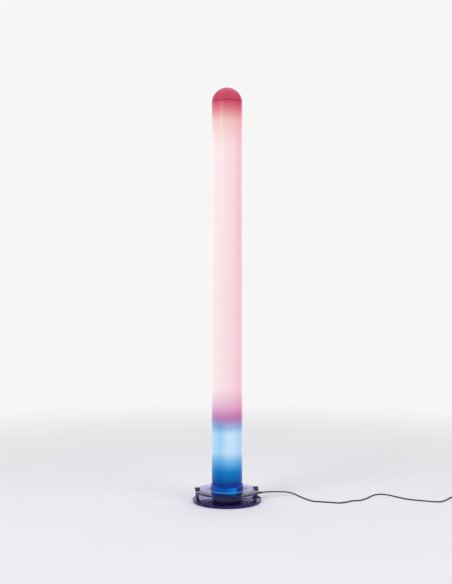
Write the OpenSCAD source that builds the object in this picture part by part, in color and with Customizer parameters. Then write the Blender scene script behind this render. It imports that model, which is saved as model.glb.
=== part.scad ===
// Column floor lamp: an opal tube with a domed top, standing on two clear discs.
// Millimetres, +Z up. The origin is on the floor, under the axis of the tube.

/* [Column] */
// Outside diameter of the opal tube
tube_d = 150; // [147:1:180]
// Wall of the opal tube and of the dome
tube_wall = 3; // [2:0.5:5]
// Length of the opal tube
tube_len = 1914; // [1900:1:2300]
// Length of the ring that joins tube and dome
joint_len = 30; // [20:1:40]
// Wall of the joint ring
joint_wall = 3; // [2:0.5:5]

/* [Base] */
// Diameter of the lower disc
lower_disc_d = 340; // [320:1:420]
// Thickness of the lower disc
lower_disc_t = 12; // [8:1:20]
// Diameter of the upper disc
upper_disc_d = 316; // [296:1:340]
// Thickness of the upper disc
upper_disc_t = 7; // [6:1:12]
// Gap between the two discs
disc_gap = 35; // [33:1:45]
// Height of the rubber foot ring
foot_h = 2; // [1.5:0.5:4]
// Width of the rubber foot ring
foot_w = 14; // [8:1:20]
// Height of the clear collar round the tube
collar_h = 31; // [20:1:50]
// Wall of the collar
collar_wall = 4.5; // [3:0.5:8]
// Wall of the round housing between the discs
housing_wall = 3; // [2.5:0.5:5]
// Thickness of the steel counterweight
weight_t = 7; // [5:0.5:7]

/* [Posts] */
// Diameter of a post
post_d = 18; // [14:1:22]
// Distance of a post's axis from the tube's axis
post_r = 148; // [140:1:150]
// Turn of the right post from the tube's right side
post_right_turn = 14; // [8:1:17]
// Turn of the left post from the tube's right side
post_left_turn = 175; // [165:1:185]
// Diameter of a knob
knob_d = 27; // [22:1:32]
// Height of a knob
knob_h = 9; // [8:1:14]
// Diameter of the studs and screws of the posts
stud_d = 6; // [5:1:8]

/* [Lamps] */
// Length of the glass of a linear lamp
lamp_len = 1480; // [1400:1:1484]
// Diameter of a linear lamp
lamp_d = 26; // [24:1:28]
// Diameter of the compact lamp's glass
globe_d = 46; // [40:1:46]
// Height of the compact lamp's glass
globe_h = 110; // [90:1:130]
// Height of the compact lamp's seat
globe_seat_z = 152; // [145:1:160]
// Space between the blue filter sleeve and the tube
filter_gap = 6; // [5:0.5:8]
// Length of the blue filter sleeve
filter_len = 330; // [320:1:345]

/* [Mast] */
// Width of the channel mast
mast_w = 34; // [32:1:36]
// Depth of the channel mast
mast_deep = 28; // [26:1:32]
// Thickness of the channel's sheet
mast_t = 2; // [1.5:0.5:2.5]
// Space between the foot plate and the upper disc's hole
foot_plate_gap = 2; // [1:0.5:5]
// Thickness of the foot plate
foot_plate_t = 5; // [4:1:8]
// Thickness of the centring rings
ring_t = 5; // [3:1:8]

/* [Cord] */
// Diameter of the cord
cord_d = 6.4; // [6:0.1:7]
// Space between the counterweight and the cord above it
cord_lift = 0.8; // [0.5:0.1:3]
// Turn of the cord's way out from the tube's right side
cord_turn = 25; // [22:1:30]
// Middle diameter of the coil's turns
coil_d = 70; // [68:1:76]
// Turns in the coil
coil_turns = 5; // [3:1:6]

/* [Switch] */
// Length of the foot switch
switch_len = 74; // [66:1:90]
// Width of the foot switch
switch_w = 44; // [40:1:56]
// Height of the foot switch's shells
switch_h = 20; // [18:1:26]
// Diameter of the button
button_d = 26; // [20:1:30]
// Travel of the button
button_travel = 3; // [2:0.5:4]

/* [Fits] */
// Gap between a lift-off piece and its seat
seat_gap = 0.3; // [0.2:0.1:0.5]
// Clearance round the tube in the collar
collar_gap = 0.5; // [0.4:0.1:1]
// Clearance between the joint ring and the dome
dome_gap = 0.3; // [0.2:0.1:0.5]
// Clearance between a centring ring and the tube
ring_gap = 1; // [0.6:0.1:2]
// Clearance round the button
button_gap = 0.5; // [0.3:0.1:1]

/* [Hidden] */
$fn = 96;
EPS = 0.01;

tube_r = tube_d / 2;
tube_in = tube_r - tube_wall;

// Heights of the base, from the floor up
gap_z = foot_h + lower_disc_t;
upper_z = gap_z + disc_gap;
deck_z = upper_z + upper_disc_t;
tube_z = deck_z + seat_gap;
tube_top = tube_z + tube_len;
dome_z = tube_top + seat_gap;

// Discs, collar and foot ring
lower_r = lower_disc_d / 2;
upper_r = upper_disc_d / 2;
deck_seat = 8;
deck_hole_r = tube_in - deck_seat;
collar_in = tube_r + collar_gap;
collar_r = collar_in + collar_wall;
foot_ring_r = lower_r - 6;
edge = 1;

// Screws
m3_r = 1.5;
m3_head_r = 2.9;
m3_head_h = 1.8;
m4_r = 2;
m4_head_r = 3.8;
m4_head_h = 2.4;
screw_gap = 0.1;
recess_gap = 0.4;
stud_r = stud_d / 2;
stud_head_r = stud_r * 1.75;
stud_head_h = stud_r * 0.8;
stud_depth = 12;
knob_depth = 6;
washer_t = 1;
knob_z = deck_z + washer_t;

// Housing between the discs
housing_r = tube_r;
housing_top_t = 4;
housing_in = housing_r - housing_wall;
lug_d = 10;
lug_r = housing_in - 4;
lug_turns = [70, 160, 250, 340];
lug_screw_depth = 10;
wire_hole_r = 14;
weight_r = lug_r - lug_d / 2 - 1;
block_z = gap_z + weight_t;
block_long = 34;
block_w = 22;
block_h = 17;

// Carrier: foot plate, mast, rings
plate_r = deck_hole_r - foot_plate_gap;
mast_z = upper_z + foot_plate_t;
mast_top = tube_top - joint_len / 2 - 5;
mast_in_w = mast_w - 2 * mast_t;
mast_front = -mast_deep / 2;
block_gap = 0.2;
upstand_h = 32;
upstand_deep = 18;
plate_screw_r = plate_r - 12;
plate_screw_turns = [45, 135, 225, 315];
plate_screw_depth = 3;
ring_r = tube_in - ring_gap;
ring_lower_z = deck_z + filter_len + 10;
ring_upper_z = mast_top - ring_t - 2;

// Linear lamps: they hang between two brackets under the upper ring
lamp_r = lamp_d / 2;
lamp_wall = 0.8;
cap_h = 10;
pin_r = 1.2;
pin_gap = 0.2;
pin_pitch = 12.7;
pin_len = 7;
pin_hole = 8;
holder_t = 10;
holder_w = 24;
holder_deep = 30;
sleeve_t = 1;
sleeve_gap = 0.6;
sleeve_r = lamp_r + sleeve_gap + sleeve_t;
lamp_x = mast_w / 2 + sleeve_r + 4;
bracket_t = 2;
bracket_deep = 38;
bracket_len = 2 * lamp_x + holder_w;
tab_w = 24;
tab_h = 18;
bracket_upper_z = ring_upper_z - bracket_t - 3;
holder_upper_z = bracket_upper_z - holder_t;
lamp_top = holder_upper_z - cap_h;
lamp_z = lamp_top - lamp_len;
holder_lower_z = lamp_z - cap_h - holder_t;
bracket_lower_z = holder_lower_z - bracket_t;
tab_lower_z = bracket_lower_z;
tab_upper_z = bracket_upper_z + bracket_t - tab_h;

// Ballast and wires inside the channel, above the lower bracket
ballast_rise = 265.7;
ballast_z = tab_lower_z + tab_h + ballast_rise;
ballast_len = 360;
ballast_deep = 20;
ballast_w = mast_in_w - 2;
wire_r = 1.5;
wire_x = 6;
wire_y = -mast_deep / 2 + mast_t + ballast_deep + wire_r + 0.2;
wire_low_z = block_z + block_h;

// Compact lamp, in front of the mast and a little to the right
globe_x = 12;
globe_r = globe_d / 2;
globe_y = mast_front - globe_r - 1.5;
globe_wall = 1;
globe_base_h = 36;
globe_base_r = globe_r;
globe_holder_r = 18;
globe_holder_h = 40;
socket_r = 13.2;
socket_depth = 26;
thread_r = 13;
globe_plate_w = 34;
globe_plate_t = 2;
globe_plate_end = 57;
base_z = globe_seat_z + globe_holder_h;
globe_z = base_z + globe_base_h;
filter_r = tube_in - filter_gap;
filter_t = 0.8;

// Cord: it leaves the housing, passes the clip at the disc's rim, and runs to the switch
cord_r = cord_d / 2;
cord_exit_z = gap_z + weight_t + cord_r + cord_lift;
cord_dir = [cos(cord_turn), sin(cord_turn)];
clip_in_r = lower_r - 24;
clip_out_r = lower_r - 6;
boot_out_r = lower_r + 26;
boot_r = 7.5;
boot_tip_r = 4.4;
clip_w = 24;
clip_top = cord_exit_z + 9;
clip_screw_y = 8;
grommet_r = 5;
flange_r = 7;
flange_t = 1.5;
cord_gap = 0.1;
glue_gap = 0.05;
lie_z = cord_r + 0.1;
cord_sides = 8;
ease = 2;

// Foot switch
switch_x = 1212;
switch_y = 84;
switch_cord_z = 8;
switch_split = 12.6;
switch_corner = 10;
switch_wall = 2.4;
button_rise = 4;
button_flange = 2;
button_flange_t = 1.5;
button_r = button_d / 2;
flange_z = switch_h - switch_wall - cord_gap - button_flange_t;
press_room = 1;
core_h = flange_z - button_travel - press_room - switch_wall;
switch_screw_x = switch_len / 2 - 7;
switch_screw_y = switch_w / 2 - 7;

// Coil: two layers, the lower winding in and the upper winding out
coil_x = 1232;
coil_y = -6;
coil_pitch = 8;
coil_rise = 7;
coil_layer_turns = (coil_turns - 0.5) / 2;
coil_out_r = coil_d / 2 + coil_pitch * coil_layer_turns / 2;
coil_in_r = coil_d / 2 - coil_pitch * coil_layer_turns / 2;
coil_z = cord_r + 1.6;
loop_rings = 24;
loop_sides = 6;
tie_t = 1.2;
tie_w = 9;
tie_gap = 0.6;

// Plug, with its pins towards the front
plug_x = coil_x + coil_out_r;
plug_y = -72;
plug_w = 36;
plug_len = 34;
plug_h = 16;
plug_corner = 8;
plug_boot_len = 14;
plug_pin_r = 2;
plug_pin_pitch = 19;
plug_pin_len = 19;

// Free cord from the clip to the switch, over the floor
CORD_PTS = [
    [clip_out_r * cord_dir.x, clip_out_r * cord_dir.y, cord_exit_z],
    [boot_out_r * cord_dir.x, boot_out_r * cord_dir.y, cord_exit_z],
    [206, 96, 24.6], [240, 106, 22.8], [272, 118, 20], [308, 137, 14], [340, 130, 8],
    [360, 100, 4.2], [378, 64, lie_z], [398, 22, lie_z], [424, -14, lie_z], [462, -28, lie_z],
    [506, -40, lie_z], [548, -52, lie_z], [586, -36, lie_z], [622, -8, lie_z], [660, 2, lie_z],
    [692, 36, lie_z], [720, 80, lie_z], [750, 122, lie_z], [784, 137, lie_z], [818, 122, lie_z],
    [850, 82, lie_z], [886, 40, lie_z], [930, 10, lie_z], [974, -8, lie_z], [1016, -26, lie_z],
    [1048, -28, lie_z], [1076, -4, lie_z], [1100, 28, lie_z], [1122, 58, 4.4], [1146, 78, 7],
    [switch_x - switch_len / 2, switch_y, switch_cord_z],
];
// Free cord from the switch to the coil
CORD_TO_COIL_PTS = [
    [switch_x + switch_len / 2, switch_y, switch_cord_z],
    [1262, 82, 7.8], [1277, 68, 6.8], [1281, 48, 5.6], [plug_x + 1.5, 24, coil_z],
    [plug_x, coil_y + cord_d, coil_z],
];
// Free cord from the coil to the plug
CORD_TO_PLUG_PTS = [
    [plug_x, coil_y - cord_d, coil_z + coil_rise],
    [plug_x, -26, coil_z + coil_rise - 0.6], [plug_x, -42, 9.4],
    [plug_x, plug_y + plug_boot_len, plug_h / 2],
];

// ---- Tubes swept along points ----

// Direction of the path at point i
function heading(pts, i) =
    let (a = pts[max(i - 1, 0)], b = pts[min(i + 1, len(pts) - 1)]) (b - a) / norm(b - a);

// Corners of one ring round the path: level sideways, and up
function ring_at(c, dir, r, sides) =
    let (side = cross(dir, [0, 0, 1]) / norm(cross(dir, [0, 0, 1])), up = cross(side, dir))
    [for (k = [0 : sides - 1]) c + r * (cos(360 * (k + 0.5) / sides) * side
        + sin(360 * (k + 0.5) / sides) * up)];

// One closed tube along pts; start and finish set the directions of its flat ends
module sweep(pts, r, sides, start, finish) {
    n = len(pts);
    // Widened, so that the flats lie at the cord's radius on average
    rr = r / cos(90 / sides);
    rings = [for (i = [0 : n - 1])
        each ring_at(pts[i], i == 0 ? start : i == n - 1 ? finish : heading(pts, i), rr, sides)];
    walls = [for (i = [0 : n - 2], k = [0 : sides - 1])
        let (a = i * sides + k, b = i * sides + (k + 1) % sides, c = a + sides, d = b + sides)
        each [[a, d, b], [a, c, d]]];
    cap_a = [for (k = [1 : sides - 2]) [0, k, k + 1]];
    last = (n - 1) * sides;
    cap_b = [for (k = [1 : sides - 2]) [last, last + k + 1, last + k]];
    polyhedron(points = rings, faces = concat(walls, cap_a, cap_b));
}

// A point of the smooth curve through four points, at share t between the middle two
function between(a, b, c, d, t) =
    0.5 * (2 * b + (c - a) * t + (2 * a - 5 * b + 4 * c - d) * t * t
        + (3 * b - a - 3 * c + d) * t * t * t);

// The hand-set points with (steps - 1) points added between each two
function smooth_path(pts, steps) =
    let (n = len(pts))
    [for (i = [0 : n - 2], s = [0 : steps - 1])
        between(pts[max(i - 1, 0)], pts[i], pts[i + 1], pts[min(i + 2, n - 1)], s / steps),
        pts[n - 1]];

module cord_tube(pts, steps, start, finish) {
    color([0.03, 0.03, 0.035])
        sweep(smooth_path(pts, steps), cord_r, cord_sides, start, finish);
}

// ---- Base ----

// Disc with its upper and lower rim broken by a small slope
module edged_disc(r, h) {
    rotate_extrude()
        polygon([[0, 0], [r - edge, 0], [r, edge], [r, h - edge], [r - edge, h], [0, h]]);
}

module at_posts() {
    for (turn = [post_left_turn, post_right_turn])
        rotate([0, 0, turn])
            translate([post_r, 0, 0])
                children();
}

module at_turns(turns, r) {
    for (turn = turns)
        rotate([0, 0, turn])
            translate([r, 0, 0])
                children();
}

module foot_ring() {
    color([0.05, 0.05, 0.06])
        difference() {
            cylinder(r = foot_ring_r, h = foot_h);
            translate([0, 0, -EPS])
                cylinder(r = foot_ring_r - foot_w, h = foot_h + 2 * EPS);
        }
}

// A screw's hole through the lower disc, with the recess for its head
module recessed_hole(r, head_r, head_h) {
    translate([0, 0, -EPS])
        cylinder(r = r + screw_gap, h = lower_disc_t + 2 * EPS);
    translate([0, 0, -EPS])
        cylinder(r = head_r + recess_gap, h = head_h + recess_gap + EPS);
}

module lower_disc() {
    color([0.55, 0.45, 0.75, 0.5])
        translate([0, 0, foot_h])
            difference() {
                edged_disc(lower_r, lower_disc_t);
                at_posts()
                    recessed_hole(stud_r, stud_head_r, stud_head_h);
                at_turns(lug_turns, lug_r)
                    recessed_hole(m4_r, m4_head_r, m4_head_h);
                at_clip_screws()
                    recessed_hole(m3_r, m3_head_r, m3_head_h);
            }
}

module upper_disc() {
    color([0.55, 0.45, 0.75, 0.5])
        translate([0, 0, upper_z])
            difference() {
                edged_disc(upper_r, upper_disc_t);
                translate([0, 0, -EPS])
                    cylinder(r = deck_hole_r, h = upper_disc_t + 2 * EPS);
                at_posts()
                    translate([0, 0, -EPS])
                        cylinder(r = stud_r + screw_gap, h = upper_disc_t + 2 * EPS);
            }
}

module collar() {
    color([0.1, 0.45, 0.75, 0.6])
        translate([0, 0, deck_z])
            rotate_extrude()
                polygon([
                    [collar_in, 0], [collar_r, 0], [collar_r, collar_h - edge],
                    [collar_r - edge, collar_h], [collar_in, collar_h],
                ]);
}

module post(turn) {
    color([0.5, 0.4, 0.7, 0.5])
        rotate([0, 0, turn])
            translate([post_r, 0, gap_z])
                difference() {
                    cylinder(d = post_d, h = disc_gap);
                    translate([0, 0, -EPS])
                        cylinder(r = stud_r + screw_gap, h = stud_depth + EPS);
                    translate([0, 0, disc_gap - stud_depth])
                        cylinder(r = stud_r + screw_gap, h = stud_depth + EPS);
                }
}

// Knob with a low crown and a blind hole for its stud
module knob(turn) {
    color([0.08, 0.05, 0.14])
        rotate([0, 0, turn])
            translate([post_r, 0, knob_z])
                difference() {
                    rotate_extrude()
                        polygon([
                            [0, 0], [knob_d / 2 - 0.8, 0], [knob_d / 2, 0.8],
                            [knob_d / 2, knob_h - 2.6], [knob_d / 2 - 1, knob_h - 1],
                            [knob_d / 2 - 3.2, knob_h - 0.2], [0, knob_h],
                        ]);
                    translate([0, 0, -EPS])
                        cylinder(r = stud_r + screw_gap, h = knob_depth + EPS);
                }
}

module post_studs() {
    color([0.6, 0.6, 0.65])
        at_posts()
            translate([0, 0, upper_z - stud_depth + screw_gap])
                cylinder(r = stud_r, h = stud_depth + upper_disc_t + washer_t + knob_depth - 2 * screw_gap);
}

module post_screws() {
    color([0.6, 0.6, 0.65])
        at_posts()
            translate([0, 0, foot_h + recess_gap]) {
                cylinder(r = stud_head_r, h = stud_head_h);
                cylinder(r = stud_r, h = lower_disc_t + stud_depth - 2 * recess_gap);
            }
}

module knob_washers() {
    color([0.75, 0.75, 0.8])
        at_posts()
            translate([0, 0, deck_z])
                difference() {
                    cylinder(r = knob_d / 2 - 3, h = washer_t);
                    translate([0, 0, -EPS])
                        cylinder(r = stud_r + screw_gap, h = washer_t + 2 * EPS);
                }
}

// Round housing: a cup turned upside down, with screw lugs inside its wall
module housing() {
    color([0.05, 0.04, 0.1])
        difference() {
            union() {
                difference() {
                    translate([0, 0, gap_z])
                        cylinder(r = housing_r, h = disc_gap);
                    translate([0, 0, gap_z - EPS])
                        cylinder(r = housing_in, h = disc_gap - housing_top_t + EPS);
                }
                at_turns(lug_turns, lug_r)
                    translate([0, 0, gap_z])
                        cylinder(d = lug_d, h = disc_gap - housing_top_t + EPS);
            }
            at_turns(lug_turns, lug_r)
                translate([0, 0, gap_z - EPS])
                    cylinder(r = m4_r + screw_gap, h = lug_screw_depth + EPS);
            at_turns(plate_screw_turns, plate_screw_r)
                translate([0, 0, upper_z - plate_screw_depth])
                    cylinder(r = m4_r + screw_gap, h = plate_screw_depth + EPS);
            translate([0, 0, upper_z - housing_top_t - EPS])
                cylinder(r = wire_hole_r, h = housing_top_t + 2 * EPS);
            translate([globe_x, globe_y, upper_z - housing_top_t - EPS])
                cylinder(r = wire_r + cord_gap, h = housing_top_t + 2 * EPS);
            along_cord(housing_in - 2)
                cylinder(r = grommet_r + screw_gap, h = housing_wall + 3);
        }
}

// Lays children along the cord's way out, from radius r0; their +Z points outwards
module along_cord(r0) {
    rotate([0, 0, cord_turn])
        translate([r0, 0, cord_exit_z])
            rotate([0, 90, 0])
                children();
}

module housing_screws() {
    color([0.6, 0.6, 0.65])
        at_turns(lug_turns, lug_r)
            translate([0, 0, foot_h + recess_gap]) {
                cylinder(r = m4_head_r, h = m4_head_h);
                cylinder(r = m4_r, h = lower_disc_t + lug_screw_depth - 2 * recess_gap);
            }
}

module counterweight() {
    color([0.35, 0.35, 0.38])
        translate([0, 0, gap_z])
            cylinder(r = weight_r, h = weight_t);
}

module terminal_block() {
    color([0.85, 0.85, 0.82])
        rotate([0, 0, cord_turn])
            translate([-block_long / 2, -block_w / 2, block_z])
                difference() {
                    cube([block_long, block_w, block_h]);
                    for (x = [block_long / 4, block_long * 3 / 4], y = [block_w / 4, block_w * 3 / 4])
                        translate([x, y, block_h - 5])
                            cylinder(r = 2, h = 5 + EPS);
                }
}

// Grommet in the housing's wall: a body in the hole and a flange on each side
module grommet() {
    inner_face = housing_in - flange_r * flange_r / (2 * housing_in) - cord_gap;
    color([0.04, 0.04, 0.05])
        difference() {
            union() {
                along_cord(inner_face - flange_t)
                    cylinder(r = flange_r, h = flange_t);
                along_cord(inner_face - EPS)
                    cylinder(r = grommet_r, h = housing_r - inner_face + 2 * EPS + cord_gap);
                along_cord(housing_r + cord_gap)
                    cylinder(r = flange_r, h = flange_t);
            }
            along_cord(inner_face - flange_t - EPS)
                cylinder(r = cord_r + cord_gap, h = housing_wall + 3 * flange_t + 2);
        }
}

module cord_inside() {
    color([0.03, 0.03, 0.035])
        along_cord(block_long / 2)
            cylinder(r = cord_r, h = clip_out_r - block_long / 2);
}

module at_clip_screws() {
    rotate([0, 0, cord_turn])
        for (y = [-clip_screw_y, clip_screw_y])
            translate([(clip_in_r + clip_out_r) / 2, y, 0])
                children();
}

// Clip on the lower disc, with the tapered boot that the cord leaves through
module cord_clip() {
    color([0.03, 0.03, 0.035])
        difference() {
            union() {
                rotate([0, 0, cord_turn])
                    translate([clip_in_r, -clip_w / 2, gap_z])
                        cube([clip_out_r - clip_in_r, clip_w, clip_top - gap_z]);
                along_cord(clip_out_r - EPS)
                    cylinder(r1 = boot_r, r2 = boot_tip_r, h = boot_out_r - clip_out_r);
            }
            along_cord(clip_in_r - 1)
                cylinder(r = cord_r + cord_gap, h = boot_out_r - clip_in_r + 2);
            at_clip_screws()
                translate([0, 0, gap_z - EPS])
                    cylinder(r = m3_r + screw_gap, h = lug_screw_depth + EPS);
        }
}

module clip_screws() {
    color([0.6, 0.6, 0.65])
        at_clip_screws()
            translate([0, 0, foot_h + recess_gap]) {
                cylinder(r = m3_head_r, h = m3_head_h);
                cylinder(r = m3_r, h = lower_disc_t + lug_screw_depth - 2 * recess_gap);
            }
}

// ---- Carrier ----

module foot_plate() {
    color([0.7, 0.7, 0.72])
        difference() {
            union() {
                translate([0, 0, upper_z])
                    cylinder(r = plate_r, h = foot_plate_t);
                translate([-mast_in_w / 2 + block_gap, mast_front + mast_t + block_gap, mast_z - EPS])
                    cube([mast_in_w - 2 * block_gap, upstand_deep, upstand_h]);
            }
            at_turns(plate_screw_turns, plate_screw_r)
                translate([0, 0, upper_z - EPS])
                    cylinder(r = m4_r + screw_gap, h = foot_plate_t + 2 * EPS);
            for (x = [-wire_x, wire_x])
                translate([x, wire_y, upper_z - EPS])
                    cylinder(r = wire_r + cord_gap, h = foot_plate_t + 2 * EPS);
            translate([globe_x, globe_y, upper_z - EPS])
                cylinder(r = wire_r + cord_gap, h = foot_plate_t + 2 * EPS);
            at_foot_screws()
                translate([0, 0, -1])
                    cylinder(r = m3_r + screw_gap, h = upstand_deep);
        }
}

module plate_screws() {
    color([0.6, 0.6, 0.65])
        at_turns(plate_screw_turns, plate_screw_r)
            translate([0, 0, upper_z - plate_screw_depth + screw_gap]) {
                cylinder(r = m4_r, h = foot_plate_t + plate_screw_depth);
                translate([0, 0, foot_plate_t + plate_screw_depth - screw_gap])
                    cylinder(r = m4_head_r, h = m4_head_h);
            }
}

// Channel, open at the back
module mast() {
    color([0.78, 0.78, 0.8])
        difference() {
            translate([-mast_w / 2, mast_front, mast_z])
                cube([mast_w, mast_deep, mast_top - mast_z]);
            translate([-mast_in_w / 2, mast_front + mast_t, mast_z - EPS])
                cube([mast_in_w, mast_deep, mast_top - mast_z + 2 * EPS]);
            at_mast_screws()
                cylinder(r = m3_r + screw_gap, h = mast_t + 2, center = true);
        }
}

// Places on the mast's front, with +Z pointing into it: foot block, brackets and ballast
module on_front(x, z) {
    translate([x, mast_front + mast_t / 2, z])
        rotate([-90, 0, 0])
            children();
}

module at_foot_screws() {
    for (z = [mast_z + 9, mast_z + 23])
        on_front(0, z)
            children();
}

module at_bracket_screws() {
    for (x = [-tab_w / 4, tab_w / 4], z = [tab_lower_z + tab_h / 2, tab_upper_z + tab_h / 2])
        on_front(x, z)
            children();
}

module at_globe_screws() {
    for (x = [-globe_plate_w / 8, globe_plate_w / 4])
        on_front(x, globe_seat_z - globe_plate_t - tab_h / 2)
            children();
}

module at_ballast_screws() {
    for (z = [ballast_z + 12, ballast_z + ballast_len - 12])
        on_front(0, z)
            children();
}

module at_mast_screws() {
    at_foot_screws() children();
    at_bracket_screws() children();
    at_globe_screws() children();
    at_ballast_screws() children();
}

// One screw: its head on the outside at the given stand-off, its shank through the sheet
module front_screw(standoff, shank) {
    translate([0, 0, -mast_t / 2 - standoff - m3_head_h])
        cylinder(r = m3_head_r, h = m3_head_h);
    translate([0, 0, -mast_t / 2 - standoff - EPS])
        cylinder(r = m3_r, h = standoff + mast_t + shank);
}

module mast_screws() {
    color([0.6, 0.6, 0.65]) {
        at_foot_screws() front_screw(0, 10);
        at_ballast_screws() front_screw(0, 6);
        at_bracket_screws() front_screw(bracket_t, 3);
        at_globe_screws() front_screw(bracket_t, 3);
    }
}

// Cross plate with the mast's cut-out and a tab on the mast's front
module bracket(z, tab_z) {
    color([0.78, 0.78, 0.8])
        difference() {
            union() {
                translate([-bracket_len / 2, -bracket_deep / 2, z])
                    cube([bracket_len, bracket_deep, bracket_t]);
                translate([-tab_w / 2, mast_front - bracket_t, tab_z])
                    cube([tab_w, bracket_t, tab_h]);
            }
            translate([-mast_w / 2 - block_gap, mast_front, z - EPS])
                cube([mast_w + 2 * block_gap, mast_deep + block_gap, bracket_t + 2 * EPS]);
            at_bracket_screws()
                cylinder(r = m3_r + screw_gap, h = 3 * mast_t, center = true);
        }
}

// Disc that centres the tube on the mast, with round openings for the warm air
module centring_ring(z) {
    color([0.85, 0.85, 0.9, 0.6])
        translate([0, 0, z])
            difference() {
                cylinder(r = ring_r, h = ring_t);
                translate([-mast_w / 2 - block_gap, mast_front - block_gap, -EPS])
                    cube([mast_w + 2 * block_gap, mast_deep + 2 * block_gap, ring_t + 2 * EPS]);
                at_turns([0, 60, 120, 180, 240, 300], ring_r * 0.65)
                    translate([0, 0, -EPS])
                        cylinder(r = 9, h = ring_t + 2 * EPS);
            }
}

module lamp(side) {
    color([1, 0.9, 0.93])
        translate([side * lamp_x, 0, lamp_z])
            difference() {
                cylinder(r = lamp_r, h = lamp_len);
                translate([0, 0, -EPS])
                    cylinder(r = lamp_r - lamp_wall, h = lamp_len + 2 * EPS);
            }
}

// Both end caps of a lamp, each with two pins
module lamp_caps(side) {
    color([0.75, 0.75, 0.77])
        for (top = [false, true])
            translate([side * lamp_x, 0, top ? lamp_top : lamp_z])
                mirror([0, 0, top ? 0 : 1]) {
                    cylinder(r = lamp_r, h = cap_h);
                    for (y = [-pin_pitch / 2, pin_pitch / 2])
                        translate([0, y, cap_h - EPS])
                            cylinder(r = pin_r, h = pin_len);
                }
}

// Lamp holder with two pin holes in the face that meets the lamp
module holder(side, z, pins_up) {
    color([0.92, 0.92, 0.9])
        translate([side * lamp_x, 0, z])
            difference() {
                translate([-holder_w / 2, -holder_deep / 2, 0])
                    cube([holder_w, holder_deep, holder_t]);
                for (y = [-pin_pitch / 2, pin_pitch / 2])
                    translate([0, y, pins_up ? holder_t - pin_hole : -EPS])
                        cylinder(r = pin_r + pin_gap, h = pin_hole + EPS);
            }
}

module sleeve(side) {
    color([1, 0.55, 0.68, 0.5])
        translate([side * lamp_x, 0, lamp_z - cap_h])
            difference() {
                cylinder(r = sleeve_r, h = lamp_len + 2 * cap_h - 1);
                translate([0, 0, -EPS])
                    cylinder(r = sleeve_r - sleeve_t, h = lamp_len + 2 * cap_h);
            }
}

module ballast() {
    color([0.93, 0.93, 0.93])
        difference() {
            translate([-ballast_w / 2, mast_front + mast_t, ballast_z])
                cube([ballast_w, ballast_deep, ballast_len]);
            at_ballast_screws()
                cylinder(r = m3_r + screw_gap, h = 20);
        }
}

// Leads: two up the channel to the lamp holders, one to the compact lamp's holder
module wiring() {
    color([0.8, 0.8, 0.8]) {
        for (x = [-wire_x, wire_x])
            translate([x, wire_y, wire_low_z])
                cylinder(r = wire_r, h = mast_top - 10 - wire_low_z);
        translate([globe_x, globe_y, upper_z - housing_top_t])
            cylinder(r = wire_r, h = globe_seat_z - upper_z + housing_top_t);
    }
}

// Angle plate on the mast's front that carries the compact lamp
module globe_bracket() {
    z = globe_seat_z - globe_plate_t;
    color([0.78, 0.78, 0.8])
        difference() {
            union() {
                translate([globe_x - globe_plate_w / 2, -globe_plate_end, z])
                    cube([globe_plate_w, globe_plate_end + mast_front, globe_plate_t]);
                translate([-globe_plate_w / 4, mast_front - bracket_t, z - tab_h])
                    cube([globe_plate_w * 0.7, bracket_t, tab_h + EPS]);
            }
            translate([globe_x, globe_y, z - EPS])
                cylinder(r = wire_r + cord_gap, h = globe_plate_t + 2 * EPS);
            at_globe_screws()
                cylinder(r = m3_r + screw_gap, h = 3 * mast_t, center = true);
        }
}

module globe_holder() {
    color([0.95, 0.95, 0.93])
        translate([globe_x, globe_y, globe_seat_z])
            difference() {
                cylinder(r = globe_holder_r, h = globe_holder_h);
                translate([0, 0, globe_holder_h - socket_depth])
                    cylinder(r = socket_r, h = socket_depth + EPS);
            }
}

// Lamp base with its screw cap below
module globe_base() {
    color([0.9, 0.9, 0.88])
        translate([globe_x, globe_y, base_z])
            rotate_extrude()
                polygon([
                    [0, 1 - socket_depth], [5, 1 - socket_depth], [thread_r, 6 - socket_depth],
                    [thread_r, 0], [globe_base_r - 1, 0], [globe_base_r, 1],
                    [globe_base_r, globe_base_h], [0, globe_base_h],
                ]);
}

// Glass of the compact lamp: a hollow tube with a round top
module globe() {
    color([0.75, 0.92, 1])
        translate([globe_x, globe_y, globe_z])
            difference() {
                capsule(globe_r, globe_h);
                translate([0, 0, -EPS])
                    capsule(globe_r - globe_wall, globe_h - globe_wall);
            }
}

module capsule(r, h) {
    rotate_extrude()
        intersection() {
            union() {
                square([r, h - r]);
                translate([0, h - r])
                    circle(r = r);
            }
            square([r, h]);
        }
}

module filter_sleeve() {
    color([0.1, 0.4, 0.9, 0.5])
        translate([0, 0, deck_z])
            difference() {
                cylinder(r = filter_r, h = filter_len);
                translate([0, 0, -EPS])
                    cylinder(r = filter_r - filter_t, h = filter_len + 2 * EPS);
            }
}

// ---- Diffuser ----

module diffuser_tube() {
    color([0.98, 0.9, 0.92])
        translate([0, 0, tube_z])
            difference() {
                cylinder(r = tube_r, h = tube_len);
                translate([0, 0, -EPS])
                    cylinder(r = tube_in, h = tube_len + 2 * EPS);
            }
}

// Ring that is bonded inside the tube's top and stands up into the dome
module joint_ring() {
    glued_r = tube_in - glue_gap;
    dome_fit_r = tube_in - dome_gap;
    steps = 5;
    // Above the joint the ring's outside follows the ball inside the dome
    ball_side = [for (k = [0 : steps])
        let (h = joint_len / 2 * k / steps) [sqrt(dome_fit_r * dome_fit_r - h * h), joint_len / 2 + h]];
    color([0.9, 0.6, 0.68])
        translate([0, 0, tube_top - joint_len / 2])
            rotate_extrude()
                polygon(concat(
                    [[tube_in - joint_wall, 0], [glued_r, 0], [glued_r, joint_len / 2]],
                    ball_side,
                    [[tube_in - joint_wall, joint_len]]
                ));
}

// Half a hollow ball, with a straight skirt where the joint ring stands
module dome() {
    color([0.75, 0.27, 0.4])
        translate([0, 0, dome_z])
            difference() {
                ball_half(tube_r);
                translate([0, 0, -EPS])
                    ball_half(tube_in);
            }
}

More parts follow.
